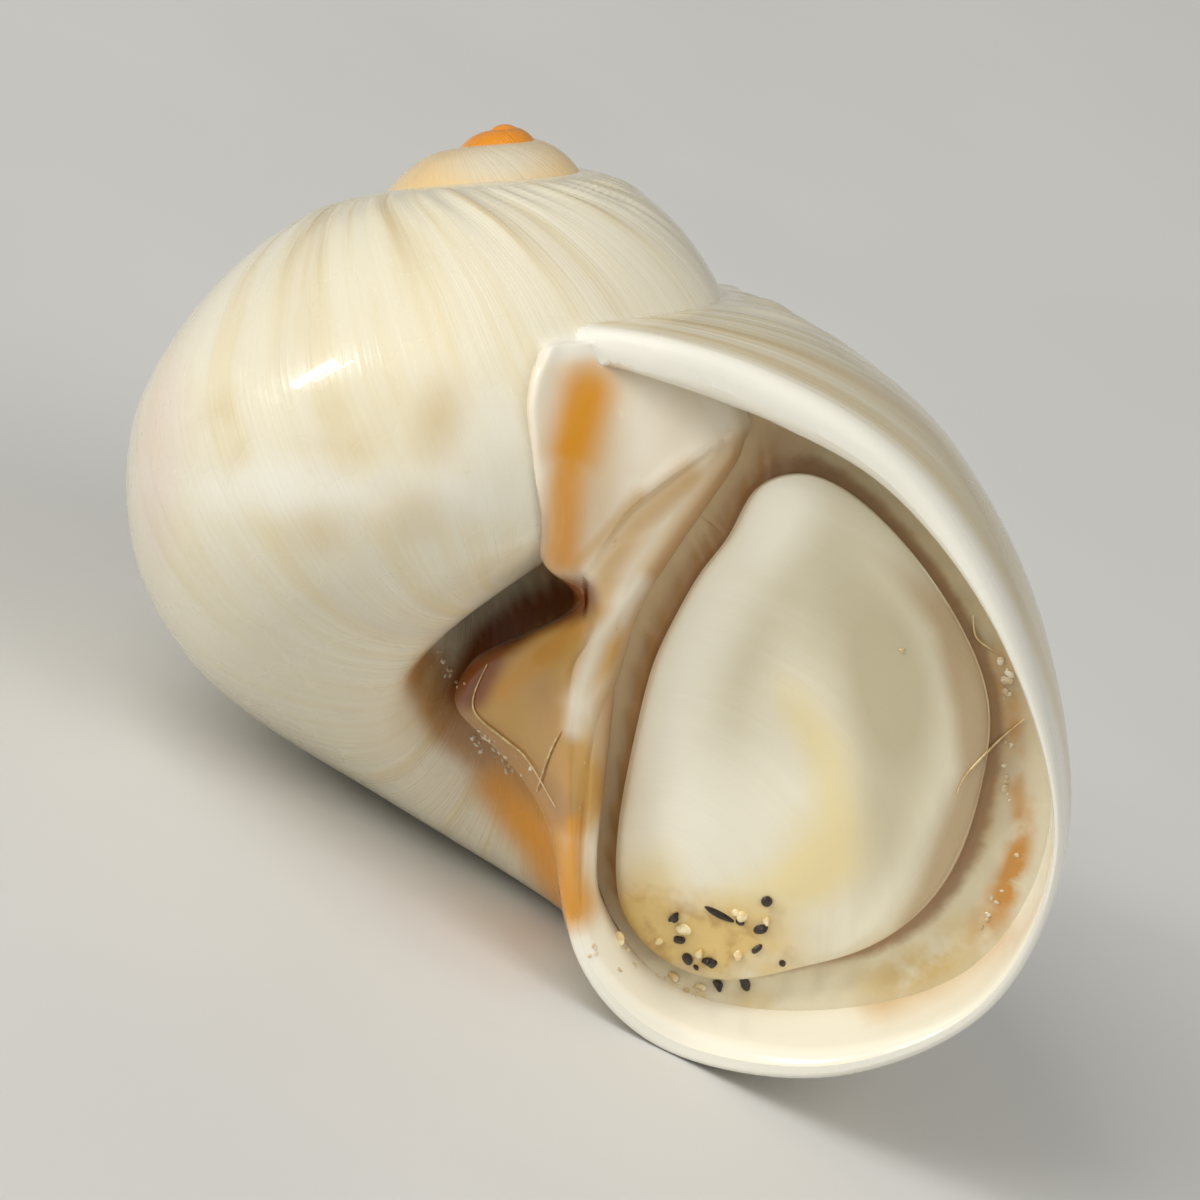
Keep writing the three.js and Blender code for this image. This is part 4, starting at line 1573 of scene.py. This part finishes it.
@dataclass
class DriedTissue:
    """The dried tissue that closes the gap between the operculum and the shell."""

    stand: Stand
    plate: Operculum
    shell: Shell
    samples: int = 270
    rings: int = 12
    start_scale: float = 0.93
    start_depth: float = 0.55
    sag: float = 0.3
    fall: float = 0.35
    past_the_wall: float = 0.1
    widest: float = 3.4
    thickness: float = 0.12
    wrinkle: float = 0.06
    wrinkle_turn: float = 0.9
    wrinkle_slant: float = 5.0
    reach_smoothing: int = 4
    piece: bpy.types.Object = field(init=False)

    def build(self) -> None:
        """Spans the gap from under the plate's edge to the wall."""
        faces = [tuple(polygon.vertices) for polygon in self.shell.piece.data.polygons]
        wall = BVHTree.FromPolygons([v.co for v in self.shell.piece.data.vertices], faces)
        rows = np.asarray(self.plate.outline, float)
        outline = read_curve(rows, even_positions(len(rows), self.samples, True), True)
        along = np.roll(outline, -1, axis=0) - np.roll(outline, 1, axis=0)
        across = np.stack([-along[:, 1], along[:, 0]], axis=1)
        across /= np.linalg.norm(across, axis=1)[:, None]
        centre = np.asarray(self.plate.centre)
        if ((outline - centre[:2]) * across).sum() < 0:
            across = -across
        slope = np.asarray(self.plate.slope)
        inwards = np.array([slope[0], slope[1], -1.0]) / math.hypot(*slope, 1.0)
        start = (outline - centre[:2]) * self.start_scale
        start = np.column_stack([start, start @ slope]) + centre + inwards * self.start_depth
        ways = np.column_stack([across, across @ slope])
        ways /= np.linalg.norm(ways, axis=1)[:, None]
        reach = np.array([self.reach(wall, place, way) for place, way in zip(start, ways)])
        for _ in range(self.reach_smoothing):
            reach = (np.roll(reach, 1) + 2 * reach + np.roll(reach, -1)) / 4
        points = []
        for share in np.linspace(0, 1, self.rings):
            drop = self.sag * math.sin(math.pi * share) + self.fall * share
            turn = np.arange(self.samples) * self.wrinkle_turn + self.wrinkle_slant * share
            crease = self.wrinkle * np.sin(turn) * math.sin(math.pi * share)
            depth = (drop + crease)[:, None] * inwards
            points.append(start + ways * (reach * share)[:, None] + depth)
        quads = []
        for ring in range(self.rings - 1):
            for i in range(self.samples):
                a, b = ring * self.samples + i, ring * self.samples + (i + 1) % self.samples
                quads.append((a, b, b + self.samples, a + self.samples))
        self.piece = new_piece("dried_tissue", self.stand.to_world(np.concatenate(points)), quads)
        store(self.piece, "share", np.repeat(np.linspace(0, 1, self.rings), self.samples))
        modifier = self.piece.modifiers.new("thickness", "SOLIDIFY")
        modifier.thickness = self.thickness * MM
        make_active(self.piece)
        bpy.ops.object.modifier_apply(modifier=modifier.name)
        face_outwards(self.piece)
        shade_smooth(self.piece, 60)

    def reach(self, wall: BVHTree, place: np.ndarray, way: np.ndarray) -> float:
        """How far the wall is from a place under the plate's edge, in millimetres."""
        start = Vector(self.stand.to_world(place))
        _, _, _, away = wall.ray_cast(start, self.stand.direction(way), self.widest * MM)
        return (away / MM if away is not None else self.widest) + self.past_the_wall

    def dress(self) -> None:
        """Gives the tissue its finish."""
        self.piece.data.materials.append(TissueFinish().material(self.stand))
        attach(self.piece, WORLD_BODY)


@dataclass
class Carrier:
    """Finds the surface that the camera sees at a pixel, on the pieces that carry loose things."""

    stand: Stand
    pieces: tuple[bpy.types.Object, ...]
    trees: list[BVHTree] = field(init=False)

    def __post_init__(self) -> None:
        """Prepares the pieces for looking up."""
        self.trees = []
        for piece in self.pieces:
            faces = [tuple(polygon.vertices) for polygon in piece.data.polygons]
            self.trees.append(BVHTree.FromPolygons([v.co for v in piece.data.vertices], faces))

    def find(self, x: float, y: float) -> tuple[Vector, Vector]:
        """The place and the normal of the nearest surface at a pixel.

        Args:
            x: The pixel's place across.
            y: The pixel's place down.

        Returns:
            The place and the surface's normal, in metres.
        """
        start, way = self.stand.ray(x, y)
        hits = [tree.ray_cast(start, way) for tree in self.trees]
        place, normal, _, _ = min((h for h in hits if h[0] is not None), key=lambda hit: hit[3])
        return place, normal if normal.dot(way) < 0 else -normal


@dataclass(frozen=True)
class Grain:
    """A grain: its pixel, its length and width in pixels, and its turn in degrees."""

    x: float
    y: float
    length: float
    width: float
    turn: float = 0.0


@dataclass
class Grains:
    """Grains of one kind of sand, as one piece."""

    name: str
    carrier: Carrier
    finish: PlainFinish
    grains: tuple[Grain, ...]
    lift: float = 0.25
    flatness: float = 0.75
    dents: int = 3
    dent_depth: float = 0.16

    def build(self) -> None:
        """Sets each grain on what carries it."""
        random = np.random.default_rng(7)
        pieces = []
        for grain in self.grains:
            place, normal = self.carrier.find(grain.x, grain.y)
            scale = self.carrier.stand.pose.pixel * MM / 2
            deselect()
            bpy.ops.mesh.primitive_ico_sphere_add(subdivisions=3, radius=1.0)
            stone = bpy.context.active_object
            points = points_of(stone)
            for _ in range(self.dents):
                way = random.normal(size=3)
                points *= (1 + self.dent_depth * np.sin(points @ way * 1.7 + random.uniform(0, 6)))[:, None]
            points *= np.array([grain.length, grain.width, grain.width * self.flatness]) * scale
            move_points(stone, points)
            facing = normal.to_track_quat("Z", "Y").to_matrix().to_4x4()
            turned = Matrix.Rotation(math.radians(-grain.turn), 4, "Z")
            raised = Matrix.Translation(place + normal * grain.width * scale * self.lift)
            stone.data.transform(raised @ facing @ turned)
            pieces.append(stone)
        self.piece = join_pieces(pieces, self.name)
        shade_smooth(self.piece, 60)
        dress_loose(self.piece, self.finish.material())


def join_pieces(pieces: Sequence[bpy.types.Object], name: str) -> bpy.types.Object:
    """Joins objects into one and names it.

    Args:
        pieces: The objects.
        name: The name of the whole.

    Returns:
        The one object.
    """
    deselect()
    for piece in pieces:
        piece.select_set(True)
    bpy.context.view_layer.objects.active = pieces[0]
    bpy.ops.object.join()
    pieces[0].name = name
    return pieces[0]


def dress_loose(piece: bpy.types.Object, material: bpy.types.Material) -> None:
    """Gives a loose thing its finish and lets it ride with the shell."""
    piece.data.materials.clear()
    piece.data.materials.append(material)
    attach(piece, WORLD_BODY)


@dataclass
class Fibres:
    """Dried fibres that lie on the shell, each a thin tube through a few pixels."""

    carrier: Carrier
    lines: tuple[tuple[Pixel, ...], ...] = (
        ((1025, 718), (1006, 733), (988, 750), (965, 775), (956, 794)),
        ((973, 615), (976, 638), (996, 652)),
        ((562, 730), (551, 753), (538, 791)),
        ((488, 664), (473, 707), (505, 738), (528, 758), (557, 807)),
    )
    radius: float = 0.045
    lift: float = 0.07
    steps: int = 10

    def build(self) -> None:
        """Lays each fibre on what carries it."""
        pieces = []
        for line in self.lines:
            count = (len(line) - 1) * self.steps + 1
            pixels = read_curve(np.asarray(line, float), even_positions(len(line), count, False), False)
            places = [self.carrier.find(*pixel) for pixel in pixels]
            points = np.array([place + normal * self.lift * MM for place, normal in places])
            kernel = np.ones(5) / 5
            for axis in range(3):
                points[2:-2, axis] = np.convolve(points[:, axis], kernel, "valid")
            pieces.append(self.tube(points))
        piece = join_pieces(pieces, "dried_fibres")
        shade_smooth(piece, 60)
        finish = PlainFinish("dried_fibre", (236, 216, 168), (206, 172, 112), Surface(0.35, 0.3, 0.1))
        dress_loose(piece, finish.material())

    def tube(self, points: np.ndarray) -> bpy.types.Object:
        """A tapered tube along points.

        Args:
            points: The points, in metres.

        Returns:
            The tube as a mesh.
        """
        curve = bpy.data.curves.new("fibre", "CURVE")
        curve.dimensions = "3D"
        curve.bevel_depth = self.radius * MM
        curve.bevel_resolution = 2
        curve.use_fill_caps = True
        spline = curve.splines.new("POLY")
        spline.points.add(len(points) - 1)
        for i, point in enumerate(points):
            spline.points[i].co = (*point, 1.0)
            spline.points[i].radius = 0.35 + 0.65 * math.sin(math.pi * (i + 0.5) / len(points))
        fibre = bpy.data.objects.new("fibre", curve)
        bpy.context.scene.collection.objects.link(fibre)
        make_active(fibre)
        bpy.ops.object.convert(target="MESH")
        return bpy.context.active_object


@dataclass
class Studio:
    """The pale floor, the soft light and the camera."""

    stand: Stand
    floor_size: float = 8.0
    window_way: tuple[float, float, float] = (-0.76, 0.45, 0.38)
    strip_way: tuple[float, float, float] = (-0.69, 0.47, 0.47)
    key_way: tuple[float, float, float] = (-0.35, 0.8, 0.75)
    fill_way: tuple[float, float, float] = (0.8, 0.15, 0.8)
    aim_height: float = 0.014
    room_strength: float = 0.27

    def build(self) -> None:
        """Sets the floor, the lights and the camera."""
        self.lay_floor()
        warm, pale = (1.0, 0.97, 0.92), (1.0, 0.98, 0.94)
        self.hang_light("key", self.key_way, 0.7, (0.5, 0.5), 2.6, warm).visible_glossy = False
        self.hang_light("fill", self.fill_way, 0.9, (0.6, 0.6), 3.2, warm).visible_glossy = False
        self.hang_light("window", self.window_way, 0.5, (0.05, 0.15), 0.7, pale)
        self.hang_light("window_strip", self.strip_way, 0.5, (0.008, 0.13), 0.1, pale)
        self.fill_room()
        self.set_camera()
        bpy.context.scene.view_settings.view_transform = "Standard"

    def lay_floor(self) -> None:
        """Lays the floor."""
        deselect()
        bpy.ops.mesh.primitive_plane_add(size=self.floor_size)
        floor = bpy.context.active_object
        floor.name = "floor"
        surface = Surface(0.7, 0.0)
        finish = PlainFinish("pale_floor", (214, 214, 212), (218, 218, 216), surface, 30.0, 0.0001)
        floor.data.materials.append(finish.material())

    def hang_light(
        self,
        name: str,
        way: Sequence[float],
        away: float,
        size: tuple[float, float],
        power: float,
        colour: tuple[float, float, float],
    ) -> bpy.types.Object:
        """Hangs a rectangular light that faces the shell.

        Args:
            name: The light's name.
            way: The direction that it lies in, in the shell's own frame.
            away: Its distance in metres.
            size: Its width and height in metres.
            power: Its power in watts.
            colour: Its colour.

        Returns:
            The light.
        """
        lamp = bpy.data.lights.new(name, "AREA")
        lamp.shape = "RECTANGLE"
        lamp.size, lamp.size_y = size
        lamp.energy = power
        lamp.color = colour
        light = bpy.data.objects.new(name, lamp)
        bpy.context.scene.collection.objects.link(light)
        direction = self.stand.direction(way)
        light.location = Vector((0, 0, self.aim_height)) + direction * away
        light.rotation_euler = direction.to_track_quat("Z", "Y").to_euler()
        return light

    def fill_room(self) -> None:
        """Fills the room with an even pale light."""
        world = bpy.data.worlds.new("room")
        world.use_nodes = True
        background = world.node_tree.nodes["Background"]
        background.inputs["Color"].default_value = (1.0, 0.99, 0.97, 1.0)
        background.inputs["Strength"].default_value = self.room_strength
        bpy.context.scene.world = world

    def set_camera(self) -> None:
        """Puts the camera where the shell is seen from."""
        pose = self.stand.pose
        right, up, back = (self.stand.direction(way) for way in pose.camera_axes())
        data = bpy.data.cameras.new("camera")
        frame_width = pose.image_size * pose.pixel
        data.sensor_width = 36.0
        data.lens = data.sensor_width * pose.distance / frame_width
        camera = bpy.data.objects.new("camera", data)
        bpy.context.scene.collection.objects.link(camera)
        place = self.stand.to_world(pose.eye())
        turn = Matrix([right, up, back]).transposed().to_4x4()
        camera.matrix_world = Matrix.Translation(Vector(place)) @ turn
        bpy.context.scene.camera = camera


def scattered_grains() -> tuple[Grain, ...]:
    """Beads of dried residue, scattered where the shell has crusts of it."""
    random = np.random.default_rng(11)
    places = (
        (500, 755, 34, 8, 38, 26, 3, 7), (448, 668, 26, 5, 60, 12, 3, 7), (1004, 686, 7, 18, 0, 12, 4, 10),
        (1008, 770, 4, 40, 0, 10, 3, 7), (655, 975, 70, 6, 20, 18, 3, 7), (990, 905, 6, 40, 30, 8, 3, 6),
    )
    grains = []
    for x, y, width, height, turn, count, least, most in places:
        cosine, sine = math.cos(math.radians(turn)), math.sin(math.radians(turn))
        for _ in range(count):
            u, v = random.uniform(-1, 1) * width, random.normal() * height * 0.6
            size = random.uniform(least, most)
            shape = (size, size * random.uniform(0.5, 1.0), random.uniform(0, 180))
            grains.append(Grain(x + u * cosine - v * sine, y + u * sine + v * cosine, *shape))
    grains.append(Grain(902, 651, 6, 5))
    return tuple(grains)


def find_stand() -> Stand:
    """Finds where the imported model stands, by where its operculum is."""
    pose = Pose()
    plate = Operculum(Stand(pose, np.zeros(3)))
    corners = plate.corner_rings().reshape(-1, 3) @ pose.turn().T
    low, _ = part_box("operculum")
    return Stand(pose, np.array(low) / MM - corners.min(axis=0))


def main() -> None:
    """Builds and dresses every piece, and sets the stage."""
    logging.basicConfig(level=logging.INFO, format="%(message)s")
    stand = find_stand()
    log.info("stand offset %s mm", np.round(stand.offset, 3))
    shell = Shell(stand)
    shell.build()
    shell.dress()
    log.info("shell: %d faces", len(shell.piece.data.polygons))
    plate = Operculum(stand)
    plate.build()
    plate.dress()
    log.info("operculum: %d faces", len(plate.piece.data.polygons))
    tissue = DriedTissue(stand, plate, shell)
    tissue.build()
    tissue.dress()
    log.info("dried tissue: %d faces", len(tissue.piece.data.polygons))
    carrier = Carrier(stand, (shell.piece, plate.piece, tissue.piece))
    dark = PlainFinish("dark_sand", (58, 44, 32), (30, 24, 20), Surface(0.4, 0.3, 0.1))
    Grains("dark_grains", carrier, dark, (
        Grain(767, 901, 10, 10), Grain(674, 918, 8, 13, 20), Grain(719, 914, 26, 7, 4),
        Grain(741, 921, 10, 9), Grain(763, 929, 16, 9, -50), Grain(758, 948, 14, 6, -60),
        Grain(679, 939, 12, 8, 0), Grain(688, 959, 12, 11), Grain(710, 961, 13, 11),
        Grain(696, 967, 8, 7), Grain(719, 985, 13, 9, 10), Grain(745, 982, 16, 10, 35),
        Grain(782, 963, 7, 6),
    )).build()
    pale = PlainFinish("pale_sand", (248, 236, 196), (226, 198, 140), Surface(0.2, 0.6, 0.05))
    Grains("pale_grains", carrier, pale, (
        Grain(684, 929, 14, 11), Grain(736, 914, 10, 8), Grain(742, 916, 9, 12), Grain(700, 953, 8, 12),
        Grain(739, 956, 9, 10), Grain(660, 941, 8, 8), Grain(618, 939, 7, 12, 20), Grain(674, 977, 12, 8),
        Grain(701, 986, 10, 7), Grain(627, 950, 9, 7), Grain(767, 920, 7, 10),
    )).build()
    crust = PlainFinish("pale_residue", (236, 226, 204), (204, 180, 136), Surface(0.15, 0.8, 0.03))
    Grains("dried_residue", carrier, crust, scattered_grains(), 0.1, 0.6).build()
    Fibres(carrier).build()
    Studio(stand).build()
    log.info("all pieces are in place")


if __name__ == "__main__":
    main()
